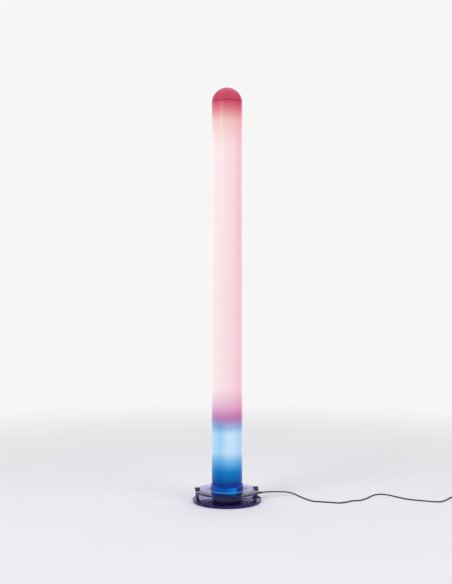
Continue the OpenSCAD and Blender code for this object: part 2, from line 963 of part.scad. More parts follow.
module ball_half(r) {
    rotate_extrude()
        intersection() {
            circle(r = r);
            square([r, r]);
        }
}

// ---- Foot switch ----

// Block with round upright edges
module rounded_block(size, corner) {
    x = size.x / 2 - corner;
    y = size.y / 2 - corner;
    linear_extrude(size.z) {
        square([size.x, 2 * y], center = true);
        square([2 * x, size.y], center = true);
        for (sx = [-x, x], sy = [-y, y])
            translate([sx, sy])
                circle(r = corner);
    }
}

module at_switch(z) {
    translate([switch_x, switch_y, z])
        children();
}

module at_switch_screws() {
    for (x = [-switch_screw_x, switch_screw_x], y = [-switch_screw_y, switch_screw_y])
        translate([x, y, 0])
            children();
}

module switch_base() {
    color([0.04, 0.04, 0.045])
        at_switch(0)
            difference() {
                rounded_block([switch_len, switch_w, switch_split], switch_corner);
                translate([0, 0, switch_wall])
                    rounded_block([
                        switch_len - 2 * switch_wall - 18, switch_w - 2 * switch_wall, switch_split,
                    ], switch_corner - switch_wall);
                at_switch_screws()
                    translate([0, 0, -EPS])
                        cylinder(r = m3_head_r + recess_gap, h = m3_head_h + recess_gap + EPS);
                at_switch_screws()
                    translate([0, 0, -EPS])
                        cylinder(r = m3_r + screw_gap, h = switch_split + 2 * EPS);
            }
}

module switch_core() {
    color([0.8, 0.8, 0.78])
        at_switch(switch_wall)
            translate([-14, -9, 0])
                cube([28, 18, core_h]);
}

module switch_cover() {
    color([0.04, 0.04, 0.045])
        at_switch(switch_split)
            difference() {
                rounded_block([switch_len, switch_w, switch_h - switch_split], switch_corner);
                translate([0, 0, -EPS])
                    rounded_block([
                        switch_len - 2 * switch_wall - 18, switch_w - 2 * switch_wall,
                        switch_h - switch_split - switch_wall + EPS,
                    ], switch_corner - switch_wall);
                cylinder(r = button_r + button_gap, h = switch_h);
                at_switch_screws()
                    translate([0, 0, -EPS])
                        cylinder(r = m3_r + screw_gap, h = 4 + EPS);
            }
}

// Button: its flange is held under the cover
module switch_button() {
    color([0.12, 0.12, 0.13])
        at_switch(0)
            rotate_extrude()
                polygon([
                    [0, flange_z], [button_r + button_flange, flange_z],
                    [button_r + button_flange, flange_z + button_flange_t],
                    [button_r, flange_z + button_flange_t],
                    [button_r, switch_h + button_rise - 1.5],
                    [button_r - 1.5, switch_h + button_rise], [0, switch_h + button_rise],
                ]);
}

module switch_screws() {
    color([0.6, 0.6, 0.65])
        at_switch(recess_gap)
            at_switch_screws() {
                cylinder(r = m3_head_r, h = m3_head_h);
                cylinder(r = m3_r, h = switch_split + 3);
            }
}

// ---- Free cord, coil and plug ----

module cord() {
    cord_tube(CORD_PTS, ease, [cord_dir.x, cord_dir.y, 0], [1, 0, 0]);
}

module cord_to_coil() {
    cord_tube(CORD_TO_COIL_PTS, ease, [1, 0, 0], [0, -1, 0]);
}

module cord_to_plug() {
    cord_tube(CORD_TO_PLUG_PTS, ease, [0, -1, 0], [0, -1, 0]);
}

// Radius and height of the coil after a given number of turns
function coil_radius(turn) =
    turn < coil_layer_turns ? coil_out_r - coil_pitch * turn
    : turn < coil_layer_turns + 0.5 ? coil_in_r
    : coil_in_r + coil_pitch * (turn - coil_layer_turns - 0.5);
function coil_height(turn) =
    let (t = min(max((turn - coil_layer_turns) / 0.5, 0), 1)) coil_z + coil_rise * t * t * (3 - 2 * t);

// The coil's path runs clockwise, with a straight end of one cord diameter at each end
COIL_PTS = concat(
    [[coil_x + coil_out_r, coil_y + cord_d, coil_z]],
    [for (i = [0 : loop_rings * coil_turns])
        let (turn = i / loop_rings, r = coil_radius(turn))
        [coil_x + r * cos(-360 * turn), coil_y + r * sin(-360 * turn), coil_height(turn)]],
    [[coil_x + coil_out_r, coil_y - cord_d, coil_z + coil_rise]]
);

// Least gap between turns, measured on the points that are more than a third of a turn apart
coil_gap = min([for (i = [0 : len(COIL_PTS) - 1], j = [i + loop_rings / 3 : len(COIL_PTS) - 1])
    norm(COIL_PTS[i] - COIL_PTS[j])]) - cord_d;
echo(coil_least_gap_mm = coil_gap);

module cord_coil() {
    color([0.03, 0.03, 0.035])
        sweep(COIL_PTS, cord_r, loop_sides, [0, -1, 0], [0, -1, 0]);
}

// Strap round the coil's turns on the side away from the switch
module coil_tie() {
    low_r = coil_in_r - cord_r - tie_gap;
    high_r = coil_out_r - coil_pitch / 2 + cord_r + tie_gap;
    low_z = coil_z - cord_r - tie_t - cord_gap;
    high_z = coil_z + coil_rise + cord_r + cord_gap;
    color([0.1, 0.1, 0.11])
        translate([coil_x, coil_y - tie_w / 2, 0])
            difference() {
                translate([-high_r - tie_t, 0, low_z])
                    cube([high_r - low_r + 2 * tie_t, tie_w, high_z + tie_t - low_z]);
                translate([-high_r, -EPS, low_z + tie_t])
                    cube([high_r - low_r, tie_w + 2 * EPS, high_z - low_z - tie_t]);
            }
}

module plug_body() {
    color([0.04, 0.04, 0.045])
        difference() {
            union() {
                translate([plug_x, plug_y - plug_len / 2, 0])
                    rounded_block([plug_w, plug_len, plug_h], plug_corner);
                translate([plug_x, plug_y + plug_boot_len, plug_h / 2])
                    rotate([90, 0, 0])
                        cylinder(r1 = boot_tip_r, r2 = boot_r, h = plug_boot_len + EPS);
            }
            for (x = [-plug_pin_pitch / 2, plug_pin_pitch / 2])
                translate([plug_x + x, plug_y - plug_len + 8, plug_h / 2])
                    rotate([90, 0, 0])
                        cylinder(r = plug_pin_r + cord_gap, h = 8 + EPS);
        }
}

module plug_pins() {
    color([0.75, 0.72, 0.6])
        for (x = [-plug_pin_pitch / 2, plug_pin_pitch / 2])
            translate([plug_x + x, plug_y - plug_len + 7.8, plug_h / 2])
                rotate([90, 0, 0])
                    cylinder(r = plug_pin_r, h = plug_pin_len + 7.8);
}

foot_ring();
lower_disc();
upper_disc();
collar();
post(post_left_turn);  // post_left
post(post_right_turn);  // post_right
knob(post_left_turn);  // knob_left
knob(post_right_turn);  // knob_right
post_studs();
post_screws();
knob_washers();
housing();
housing_screws();
counterweight();
terminal_block();
grommet();
cord_inside();
cord_clip();
clip_screws();
foot_plate();
plate_screws();
mast();
mast_screws();
bracket(bracket_lower_z, tab_lower_z);  // bracket_lower
bracket(bracket_upper_z, tab_upper_z);  // bracket_upper
centring_ring(ring_lower_z);  // centring_ring_lower
centring_ring(ring_upper_z);  // centring_ring_upper
lamp(-1);  // lamp_left
lamp(1);  // lamp_right
lamp_caps(-1);  // lamp_caps_left
lamp_caps(1);  // lamp_caps_right
holder(-1, holder_lower_z, true);  // holder_lower_left
holder(1, holder_lower_z, true);  // holder_lower_right
holder(-1, holder_upper_z, false);  // holder_upper_left
holder(1, holder_upper_z, false);  // holder_upper_right
sleeve(-1);  // sleeve_left
sleeve(1);  // sleeve_right
ballast();
wiring();
globe_bracket();
globe_holder();
globe_base();
globe();
filter_sleeve();
diffuser_tube();
joint_ring();
dome();
cord();
switch_base();
switch_core();
switch_cover();
switch_button();
switch_screws();
cord_to_coil();
cord_coil();
coil_tie();
cord_to_plug();
plug_body();
plug_pins();
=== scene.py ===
"""Looks of a column floor lamp: an opal tube lit from inside, on two clear discs, with its cord and switch.

+Z is up, with the origin on the floor under the tube's axis. Shapes are in millimetres and turn to metres
in mesh_of; finishes, the finished cord and the studio's lamps are in metres. Places and sizes come from the
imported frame's boxes, or are named values beside the piece that they belong to.
"""

import logging
import math
from collections.abc import Callable, Sequence
from dataclasses import dataclass, field
from enum import Enum

import bmesh
import bpy
import numpy as np
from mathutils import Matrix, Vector


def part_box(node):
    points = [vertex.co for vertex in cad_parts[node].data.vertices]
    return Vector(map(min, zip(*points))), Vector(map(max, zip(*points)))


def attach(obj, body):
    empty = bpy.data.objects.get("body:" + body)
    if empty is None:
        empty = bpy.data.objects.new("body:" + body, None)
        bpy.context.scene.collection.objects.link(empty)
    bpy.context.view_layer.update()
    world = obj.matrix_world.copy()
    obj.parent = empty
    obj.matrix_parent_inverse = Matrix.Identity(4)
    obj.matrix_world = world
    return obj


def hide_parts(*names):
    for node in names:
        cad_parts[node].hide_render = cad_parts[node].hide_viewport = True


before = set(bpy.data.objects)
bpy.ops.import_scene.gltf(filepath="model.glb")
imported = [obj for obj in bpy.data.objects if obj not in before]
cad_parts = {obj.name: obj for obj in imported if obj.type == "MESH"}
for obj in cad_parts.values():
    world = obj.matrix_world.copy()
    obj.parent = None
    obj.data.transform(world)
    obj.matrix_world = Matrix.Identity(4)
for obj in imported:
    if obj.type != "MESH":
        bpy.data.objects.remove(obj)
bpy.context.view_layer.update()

LOG = logging.getLogger("column_lamp")
IMAGE_W, IMAGE_H = 452, 584
MM = 0.001
SEGMENTS = 96
CREASE, SHARP, FLAT = math.radians(32), math.radians(50), math.radians(0.4)
JOIN_NODE, JOIN_SHELL = 2e-6, 1e-6

Colour = tuple[float, float, float]
Setting = dict[str, object]


def colour(red: int, green: int, blue: int) -> Colour:
    """Linear colour of an 8-bit screen colour.

    Args:
        red, green, blue: screen values from 0 to 255.

    Returns:
        The three linear values, each c / 12.92 below the knee and ((c + 0.055) / 1.055) ** 2.4 above it.
    """
    screen = np.array([red, green, blue]) / 255
    linear = np.where(screen <= 0.04045, screen / 12.92, ((screen + 0.055) / 1.055) ** 2.4)
    return tuple(float(c) for c in linear)


class Body(Enum):
    """The bodies that pieces ride on."""

    ROOT = "root"
    DIFFUSER = "diffuser"
    DOME = "dome"
    BUTTON = "switch_button"


class Axis(Enum):
    """Directions of a turned piece or of a brushed grain."""

    X = 0
    Y = 1
    Z = 2


# ---- Places and sizes from the frame ----


@dataclass(frozen=True)
class Extent:
    """The box of one CAD solid or node, in millimetres."""

    low: Vector
    high: Vector

    @property
    def size(self) -> Vector:
        """Length of each side."""
        return self.high - self.low

    @property
    def centre(self) -> Vector:
        """Middle of the box."""
        return (self.low + self.high) / 2

    @property
    def radius(self) -> float:
        """Radius of an upright round piece that fills the box."""
        return self.size.x / 2


def extent(node: str) -> Extent:
    """Box of a CAD node."""
    low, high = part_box(node)
    return Extent(low / MM, high / MM)


def solids_of(node: str) -> list[Extent]:
    """Boxes of the separate solids in a CAD node.

    Args:
        node: the node's name.

    Returns:
        One box per solid, in the order of their lowest vertex number.
    """
    work = merged_copy(node)
    work.verts.ensure_lookup_table()
    left, found = set(work.verts), []
    for start in work.verts:
        if start not in left:
            continue
        island, edge = {start}, [start]
        while edge:
            near = {e.other_vert(v) for v in edge for e in v.link_edges} - island
            island |= near
            edge = list(near)
        left -= island
        points = np.array([v.co[:] for v in island]) / MM
        found.append(Extent(Vector(points.min(0)), Vector(points.max(0))))
    work.free()
    return found


def merged_copy(node: str) -> bmesh.types.BMesh:
    """Joins a CAD node's loose triangles.

    Args:
        node: the node's name.

    Returns:
        A new BMesh, in metres, that the caller frees.
    """
    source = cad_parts[node].data
    work = bmesh.new()
    bare = bpy.data.meshes.new("bare")
    points = np.empty(len(source.vertices) * 3, np.float32)
    source.vertices.foreach_get("co", points)
    corners = np.empty(len(source.loops), np.int32)
    source.loops.foreach_get("vertex_index", corners)
    bare.from_pydata(points.reshape(-1, 3), [], corners.reshape(-1, 3).tolist())
    work.from_mesh(bare)
    bpy.data.meshes.remove(bare)
    bmesh.ops.remove_doubles(work, verts=work.verts, dist=JOIN_NODE)
    return work


# ---- Surfaces ----


@dataclass(frozen=True)
class Shell:
    """A surface between closed rings of points: rings[i, j] is point j of ring i.

    With loop the last ring joins the first, as on a turned wall; otherwise a flat face closes each end.
    """

    rings: np.ndarray
    loop: bool = False

    def along(self, axis: Axis, at: Vector, flip: bool = False) -> "Shell":
        """The shell with its own +Z laid along an axis, and then moved.

        Args:
            axis: the axis that +Z turns to.
            at: where the shell's own origin goes.
            flip: whether +Z points against the axis.

        Returns:
            The turned and moved shell; the turn is a cyclic swap of x, y and z, so it never mirrors.
        """
        points = self.rings
        if flip:
            points = points * np.array([1, -1, -1])
        turned = np.roll(points, {Axis.X: 1, Axis.Y: 2, Axis.Z: 0}[axis], axis=2)
        return Shell(turned + np.array(at[:]), self.loop)

    def over(self, box: "Extent", z: float = 0.0) -> "Shell":
        """The shell moved sideways to the middle of a box, and up by z."""
        return self.along(Axis.Z, Vector((box.centre.x, box.centre.y, z)))

    def turned(self, angle: float) -> "Shell":
        """The shell turned round the world's Z axis, by x' = x cos a - y sin a and y' = x sin a + y cos a."""
        c, s = math.cos(angle), math.sin(angle)
        return Shell(self.rings @ np.array([[c, s, 0], [-s, c, 0], [0, 0, 1]]), self.loop)


def rounded(corners: Sequence[tuple[float, float, float]], steps: int = 5) -> np.ndarray:
    """Closed outline through corners, each replaced by the arc that touches both its sides.

    Args:
        corners: (u, v, fillet) of each corner, in order.
        steps: stretches in an arc.

    Returns:
        The outline's points. The arc's centre lies on the corner's bisector at fillet / sin(half its angle).
    """
    points = np.array([c[:2] for c in corners], float)
    outline = []
    for i, (u, v, fillet) in enumerate(corners):
        corner = np.array([u, v])
        if fillet <= 0:
            outline.append(corner[None])
            continue
        sides = np.array([points[i - 1], points[(i + 1) % len(points)]]) - corner
        sides /= np.linalg.norm(sides, axis=1)[:, None]
        half = math.acos(np.clip(sides[0] @ sides[1], -1, 1)) / 2
        bisector = sides.sum(0) / np.linalg.norm(sides.sum(0))
        centre = corner + bisector * fillet / math.sin(half)
        spread = np.linspace(-1, 1, steps + 1)[:, None] * (math.pi / 2 - half)
        across = sides[1] - (sides[1] @ bisector) * bisector
        across /= np.linalg.norm(across)
        outline.append(centre + fillet * (np.sin(spread) * across - np.cos(spread) * bisector))
    return np.concatenate(outline)


def full_turn(count: int) -> np.ndarray:
    """Evenly spaced angles of one turn, from 0."""
    return np.arange(count) * 2 * math.pi / count


def lathe(profile: np.ndarray | Sequence, around: int = SEGMENTS, loop: bool = True, steps: int = 3) -> Shell:
    """Turns a profile round +Z: x = r cos a, y = r sin a, z = h.

    Args:
        profile: (radius, height) points, or (radius, height, fillet) corners that are rounded first.
        around: points in each ring.
        loop: whether the profile's last point joins its first.
        steps: stretches in a rounded corner.

    Returns:
        The turned shell.
    """
    if len(profile[0]) == 3:
        profile = rounded(profile, steps)
    angle, (r, h) = full_turn(around), np.asarray(profile, float).T
    rings = np.stack([np.outer(r, np.cos(angle)), np.outer(r, np.sin(angle)),
                      np.repeat(h[:, None], around, 1)], axis=2)
    return Shell(rings, loop)


def rod(radius: float, low: float, high: float, edge: float = 0.0, around: int = 48) -> Shell:
    """Upright solid rod, with both rims rounded where edge is over 0."""
    return lathe([(0, low, 0), (radius, low, edge), (radius, high, edge), (0, high, 0)], around, False)


def filled(box: Extent, edge: float, around: int) -> Shell:
    """Upright rod on the axis, as wide and as high as a box."""
    return rod(box.radius, box.low.z, box.high.z, edge, around)


def pipe(box: Extent, wall: float, edge: float, around: int = SEGMENTS) -> Shell:
    """Upright tube on the axis, as wide and as high as a box, with rounded rims."""
    outer, inner, low, high = box.radius, box.radius - wall, box.low.z, box.high.z
    return lathe([(inner, low, edge), (outer, low, edge), (outer, high, edge), (inner, high, edge)], around)


def block(size: Sequence[float], corner: float, levels: np.ndarray, at: Sequence[float],
          arc: int = 8) -> Shell:
    """Prism over a rectangle with round upright edges, drawn in or let out by level.

    Args:
        size: the rectangle's width and depth.
        corner: radius of its upright edges.
        levels: (inset, height) of each ring, from one end to the other.
        at: x, y and z of the rectangle's middle at height 0.
        arc: stretches in each round corner.

    Returns:
        The shell. A point is its corner's centre plus (corner - inset) times its direction.
    """
    turn = np.linspace(0, math.pi / 2, arc + 1)
    angle = np.concatenate([turn + k * math.pi / 2 for k in range(4)])
    side = np.repeat(np.array([[1, 1], [-1, 1], [-1, -1], [1, -1]]), arc + 1, axis=0)
    middle = side * (np.array(size[:2]) / 2 - corner)
    inset, height = np.asarray(levels, float).T
    reach = (corner - inset)[:, None, None] * np.stack([np.cos(angle), np.sin(angle)], 1)[None]
    flat = middle[None] + reach
    lift = np.repeat(height[:, None, None], len(angle), 1)
    return Shell(np.concatenate([flat, lift], axis=2) + np.array(at[:]))


def mesh_of(shells: Sequence[Shell]) -> bpy.types.Mesh:
    """One mesh of several shells, with poles closed and faces pointing out.

    Args:
        shells: the surfaces; ring i and ring i + 1 are joined by one quad for each point.

    Returns:
        The mesh, each shell closed. Each is welded by itself, so shells that touch stay apart.
    """
    whole, mesh = bmesh.new(), bpy.data.meshes.new("shape")
    for shell in shells:
        rows, count, _ = shell.rings.shape
        index = np.arange(rows * count).reshape(rows, count)
        lower = index if shell.loop else index[:-1]
        upper = np.roll(index, -1, axis=0) if shell.loop else index[1:]
        faces = np.stack([lower, np.roll(lower, -1, 1), np.roll(upper, -1, 1), upper], axis=2)
        faces = faces.reshape(-1, 4).tolist()
        if not shell.loop:
            faces += [index[0, ::-1].tolist(), index[-1].tolist()]
        part, work = bpy.data.meshes.new("part"), bmesh.new()
        part.from_pydata(shell.rings.reshape(-1, 3) * MM, [], faces)
        work.from_mesh(part)
        bmesh.ops.remove_doubles(work, verts=work.verts, dist=JOIN_SHELL)
        bare = [edge for edge in work.edges if not edge.link_faces]
        bmesh.ops.delete(work, geom=bare, context="EDGES")
        bmesh.ops.recalc_face_normals(work, faces=work.faces)
        work.to_mesh(part)
        work.free()
        whole.from_mesh(part)
        bpy.data.meshes.remove(part)
    whole.to_mesh(mesh)
    whole.free()
    return mesh


# ---- Material nodes ----


def operator(operation: str, swapped: bool = False) -> Callable[["Wire", object], "Wire"]:
    """A method for Wire that adds one Math node.

    Args:
        operation: the node's operation.
        swapped: whether the wire is the second value.

    Returns:
        The method.
    """

    def method(self: "Wire", other: object) -> "Wire":
        """The node's result for this wire and another wire or number."""
        first, second = (other, self) if swapped else (self, other)
        node = self.bench.node("ShaderNodeMath", {"operation": operation}, {0: first, 1: second})
        return self.bench.out(node, 0)

    return method


@dataclass(frozen=True)
class Wire:
    """A value that one node hands to another, with arithmetic as Python operators."""

    bench: "Bench"
    socket: bpy.types.NodeSocket

    __add__, __radd__ = operator("ADD"), operator("ADD", True)
    __sub__, __rsub__ = operator("SUBTRACT"), operator("SUBTRACT", True)
    __mul__, __rmul__ = operator("MULTIPLY"), operator("MULTIPLY", True)
    __truediv__, __rtruediv__ = operator("DIVIDE"), operator("DIVIDE", True)
    __pow__, __rpow__ = operator("POWER"), operator("POWER", True)


class Bench:
    """Builds the node tree of one material."""

    def __init__(self, name: str) -> None:
        """Makes a new material with an empty tree and its output."""
        self.material = bpy.data.materials.new(name)
        self.material.use_nodes = True
        self.tree = self.material.node_tree
        self.tree.nodes.clear()
        self.end = self.tree.nodes.new("ShaderNodeOutputMaterial")

    @staticmethod
    def _socket(sockets: Sequence[bpy.types.NodeSocket], key: int | str) -> bpy.types.NodeSocket:
        """A socket by its number or its identifier."""
        if isinstance(key, int):
            return sockets[key]
        return next(s for s in sockets if s.identifier == key)

    def node(self, kind: str, settings: Setting | None = None, values: dict | None = None) -> bpy.types.Node:
        """Adds a node of any type.

        Args:
            kind: the node's type.
            settings: its properties, and a ramp's stops as (place, colour) pairs; they are set first.
            values: a number, colour or wire for each socket, by number or identifier.

        Returns:
            The new node.
        """
        node = self.tree.nodes.new(kind)
        for key, value in (settings or {}).items():
            if key == "stops":
                self._set_stops(node.color_ramp, value)
            else:
                setattr(node, key, value)
        for key, value in (values or {}).items():
            socket = self._socket(node.inputs, key)
            if isinstance(value, Wire):
                self.tree.links.new(value.socket, socket)
            elif socket.type == "RGBA":
                socket.default_value = (*value[:3], 1)
            else:
                socket.default_value = value
        return node

    @staticmethod
    def _set_stops(ramp: bpy.types.ColorRamp, stops: Sequence[tuple[float, Colour]]) -> None:
        """Gives a colour ramp its stops."""
        for place, _ in stops[2:]:
            ramp.elements.new(place)
        for element, (place, tone) in zip(ramp.elements, sorted(stops)):
            element.position = place
            element.color = (*tone, 1)

    def out(self, node: bpy.types.Node, key: int | str) -> Wire:
        """A node's output as a wire."""
        return Wire(self, self._socket(node.outputs, key))

    def place(self) -> tuple[Wire, Wire, Wire]:
        """The surface point's x, y and z, in metres."""
        points = self.out(self.node("ShaderNodeTexCoord"), "Object")
        parts = self.node("ShaderNodeSeparateXYZ", None, {0: points})
        return tuple(self.out(parts, i) for i in range(3))

    def reach(self) -> Wire:
        """The surface point's distance from the tube's axis, in metres."""
        x, y, _ = self.place()
        return (x * x + y * y) ** 0.5

    def grain(self, scale: float, detail: float = 3.0, stretch: Sequence[float] = (1, 1, 1)) -> Wire:
        """Cloudy noise from 0 to 1 on the object's own coordinates.

        Args:
            scale: clouds in a metre.
            detail: octaves.
            stretch: how much denser the clouds are along x, y and z.
        """
        points = self.out(self.node("ShaderNodeTexCoord"), "Object")
        mapped = self.node("ShaderNodeMapping", None, {"Vector": points, "Scale": tuple(stretch)})
        noise = self.node("ShaderNodeTexNoise", None,
                          {"Vector": self.out(mapped, 0), "Scale": scale, "Detail": detail})
        return self.out(noise, 0)

    def ramp(self, share: object, stops: Sequence[tuple[float, Colour]]) -> Wire:
        """Colour that runs through the stops as share goes from 0 to 1."""
        return self.out(self.node("ShaderNodeValToRGB", {"stops": stops}, {0: share}), 0)

    def by_height(self, stops: Sequence[tuple[float, Colour]]) -> Wire:
        """Colour that runs through the stops, each at a height in metres."""
        low, high = stops[0][0], stops[-1][0]
        _, _, z = self.place()
        return self.ramp((z - low) / (high - low), [((h - low) / (high - low), tone) for h, tone in stops])

    def step(self, value: Wire, low: float, high: float) -> Wire:
        """Share from 0 at low to 1 at high, eased at both ends."""
        settings = {"interpolation_type": "SMOOTHSTEP"}
        return self.out(self.node("ShaderNodeMapRange", settings, {0: value, 1: low, 2: high}), 0)

    def mix(self, first: object, second: object, share: object, how: str = "MIX") -> Wire:
        """Colour between two colours, or their product where how is MULTIPLY."""
        settings = {"data_type": "RGBA", "blend_type": how}
        values = {"Factor_Float": share, "A_Color": first, "B_Color": second}
        return self.out(self.node("ShaderNodeMix", settings, values), "Result_Color")

    def scaled(self, tone: Wire, factor: object) -> Wire:
        """A colour made stronger or weaker."""
        node = self.node("ShaderNodeVectorMath", {"operation": "SCALE"}, {0: tone, "Scale": factor})
        return self.out(node, 0)

    def bump(self, height: Wire, depth: float, strength: float = 1.0) -> Wire:
        """Normal of a surface whose relief is height times depth, in metres."""
        return self.out(self.node("ShaderNodeBump", None,
                                  {"Height": height, "Distance": depth, "Strength": strength}), 0)

    def surface(self, values: dict[str, object]) -> Wire:
        """A Principled shader with these sockets."""
        return self.out(self.node("ShaderNodeBsdfPrincipled", None, values), 0)

    def join(self, first: Wire, second: Wire, share: object) -> Wire:
        """A shader between two shaders."""
        return self.out(self.node("ShaderNodeMixShader", None, {0: share, 1: first, 2: second}), 0)

    def clear_to_lamps(self, shader: Wire, tint: Colour) -> Wire:
        """A shader whose shadow is only tinted, as that of clear plastic is."""
        through = self.out(self.node("ShaderNodeBsdfTransparent", None, {0: tint}), 0)
        shadow = self.out(self.node("ShaderNodeLightPath"), "Is Shadow Ray")
        return self.join(shader, through, shadow)

    def close(self, shader: Wire) -> None:
        """Links the finished shader to the output."""
        self.tree.links.new(shader.socket, self.end.inputs[0])


# ---- Finishes ----


@dataclass(frozen=True)
class Finish:
    """A surface finish and the record's slot that it shows."""

    name: str
    slot: str

    def material(self) -> bpy.types.Material:
        """The finish's material, made the first time it is asked for."""
        name = f"finish_{self.name}"
        found = bpy.data.materials.get(name)
        if found:
            return found
        bench = Bench(name)
        self.paint(bench)
        return bench.material

    def paint(self, bench: Bench) -> None:
        """Fills the material's node tree."""
        raise NotImplementedError


@dataclass(frozen=True)
class Opal(Finish):
    """Opal plastic with the inner lamps' light painted on: the colour runs with height and from its left side
    to its right.

    The same painted light is its glow and, times body, its base colour, so the light that it reflects carries
    it too; the side ramp is painted shade from side to side. Below foot_top the tint from side to side is
    painted light of the lamp at the foot.
    """

    stops: tuple[tuple[float, Colour], ...] = ()
    sides: tuple[tuple[float, Colour], ...] = ()
    foot_sides: tuple[tuple[float, Colour], ...] = ()
    foot_top: float = 0.4
    radius: float = 75 * MM
    glow: float = 0.75
    # share of the painted light that is laid into the base colour
    body: float = 0.23
    gloss: float = 0.12
    roughness: float = 0.3

    def paint(self, bench: Bench) -> None:
        """Painted light = ramp(height) x painted side shade x clouds, on the base and on the glow."""
        x, _, z = bench.place()
        lit = bench.by_height(self.stops)
        across = x / (2 * self.radius) + 0.5
        # painted shade from side to side across the plastic
        tint = bench.ramp(across, self.sides)
        if self.foot_sides:
            above = bench.step(z, self.foot_top - 0.03, self.foot_top + 0.03)
            tint = bench.mix(bench.ramp(across, self.foot_sides), tint, above)
        lit = bench.mix(lit, tint, 1.0, "MULTIPLY")
        clouds = bench.grain(7, 2, (1, 1, 0.4)) * 0.05 + 0.975
        lit = bench.scaled(lit, clouds)
        marks = bench.grain(900, 2)
        bench.close(bench.surface({
            # the base colour carries the painted light too, times body
            "Base Color": bench.scaled(lit, self.body),
            "Roughness": marks * 0.06 + (self.roughness - 0.03),
            "Emission Color": lit,
            "Emission Strength": self.glow,
            "Specular IOR Level": self.gloss,
            "Normal": bench.bump(bench.grain(14, 1), 0.2 * MM, 0.3),
        }))


@dataclass(frozen=True)
class Clear(Finish):
    """Polished clear plastic; past a radius where one looks into its rim its base colour turns to a dark rim
    colour, partly the deep tint seen along the disc and partly painted shade.
    """

    tint: Colour = (1, 1, 1)
    rim: Colour = (1, 1, 1)
    rim_radius: float = 1.0
    shade: Colour = (1, 1, 1)
    gloss: Colour = (0.4, 0.36, 0.62)

    def values(self, bench: Bench) -> dict[str, object]:
        """Sockets of the glass-like body, with the rim's painted shade in its base colour and fine wiping
        marks in its roughness.
        """
        # painted shade: past rim_radius the base colour turns to the dark rim colour
        rim = bench.step(bench.reach(), self.rim_radius - 0.8 * MM, self.rim_radius)
        marks = bench.grain(420, 3, (1, 1, 3))
        return {
            "Base Color": bench.mix(self.tint, self.rim, rim),
            "Roughness": marks * marks * 0.12 + 0.01,
            "Transmission Weight": 1.0,
            "Specular Tint": self.gloss,
            "IOR": 1.49,
        }

    def paint(self, bench: Bench) -> None:
        """Clear body whose shadow is only tinted."""
        bench.close(bench.clear_to_lamps(bench.surface(self.values(bench)), self.shade))


@dataclass(frozen=True)
class EdgeLit(Clear):
    """Clear plastic with painted light, as if lit from its own edge: the glow runs along x and is painted
    darker at both sides, under a dim rim, over a bright foot that is a painted highlight.
    """

    sides: tuple[tuple[float, Colour], ...] = ()
    radius: float = 80 * MM
    dim: Colour = (0, 0, 0)
    foot: Colour = (1, 1, 1)
    foot_z: float = 57.2 * MM
    rim_z: float = 80 * MM
    glow: float = 0.74

    def paint(self, bench: Bench) -> None:
        """Painted glow = ramp(x), mixed to dim above rim_z and to the foot's painted highlight below foot_z.
        """
        x, _, z = bench.place()
        glow = bench.ramp(x / (2 * self.radius) + 0.5, self.sides)
        glow = bench.mix(glow, self.dim, bench.step(z, self.rim_z - 3 * MM, self.rim_z))
        glow = bench.mix(self.foot, glow, bench.step(z, self.foot_z - 0.4 * MM, self.foot_z + 0.4 * MM))
        values = self.values(bench) | {"Emission Color": glow, "Emission Strength": self.glow}
        bench.close(bench.clear_to_lamps(bench.surface(values), self.shade))


@dataclass(frozen=True)
class Moulded(Finish):
    """Moulded plastic, rubber or paint: an even tone with a fine grain and slight clouds."""

    tone: Colour = (0.5, 0.5, 0.5)
    roughness: float = 0.4
    grain: float = 1500.0
    relief: float = 0.03 * MM
    clouds: float = 0.12
    polish: float = 0.0
    shine: float = 0.5

    def paint(self, bench: Bench) -> None:
        """Tone x clouds, with roughness and relief from the grain."""
        fine = bench.grain(self.grain, 3)
        broad = bench.grain(28, 3)
        darker = tuple(c * (1 - self.clouds) for c in self.tone)
        lighter = tuple(min(c * (1 + self.clouds) + 0.004, 1) for c in self.tone)
        bench.close(bench.surface({
            "Base Color": bench.mix(darker, lighter, broad),
            "Roughness": fine * 0.12 + broad * 0.08 + (self.roughness - 0.1),
            "Specular IOR Level": self.shine,
            "Coat Weight": self.polish,
            "Coat Roughness": 0.08,
            "Normal": bench.bump(fine, self.relief),
        }))


@dataclass(frozen=True)
class Metal(Finish):
    """Metal with a drawn or turned grain along one axis."""

    tone: Colour = (0.7, 0.7, 0.72)
    roughness: float = 0.32
    grain_along: Axis = Axis.Z

    def paint(self, bench: Bench) -> None:
        """Streaks are noise that is squeezed along the grain; they move tone, roughness and relief."""
        stretch = [1.0, 1.0, 1.0]
        stretch[self.grain_along.value] = 0.03
        streaks = bench.grain(1400, 3, stretch)
        spots = bench.grain(60, 4)
        darker = tuple(c * 0.82 for c in self.tone)
        bench.close(bench.surface({
            "Base Color": bench.mix(darker, self.tone, streaks * 0.6 + spots * 0.4),
            "Metallic": 1.0,
            "Roughness": streaks * 0.14 + spots * 0.1 + (self.roughness - 0.12),
            "Normal": bench.bump(streaks, 0.02 * MM, 0.6),
        }))


@dataclass(frozen=True)
class Lit(Finish):
    """White lamp glass that glows, duller in a short band at each end."""

    tone: Colour = (1, 1, 1)
    dull: Colour = (0.4, 0.4, 0.4)
    low: float = 0.0
    high: float = 1.0
    band: float = 30 * MM
    glow: float = 1.0

    def paint(self, bench: Bench) -> None:
        """Glow = tone away from the ends, dull at them, by two eased steps over the height."""
        _, _, z = bench.place()
        rise = bench.step(z, self.low, self.low + self.band)
        inside = rise * (1 - bench.step(z, self.high - self.band, self.high))
        powder = bench.grain(160, 3) * 0.06 + 0.97
        shine = bench.scaled(bench.mix(self.dull, self.tone, inside), powder)
        bench.close(bench.surface({
            "Base Color": bench.scaled(shine, 0.3),
            "Roughness": bench.grain(700, 2) * 0.08 + 0.14,
            "Emission Color": shine,
            "Emission Strength": self.glow,
        }))
        bench.material.cycles.emission_sampling = "NONE"


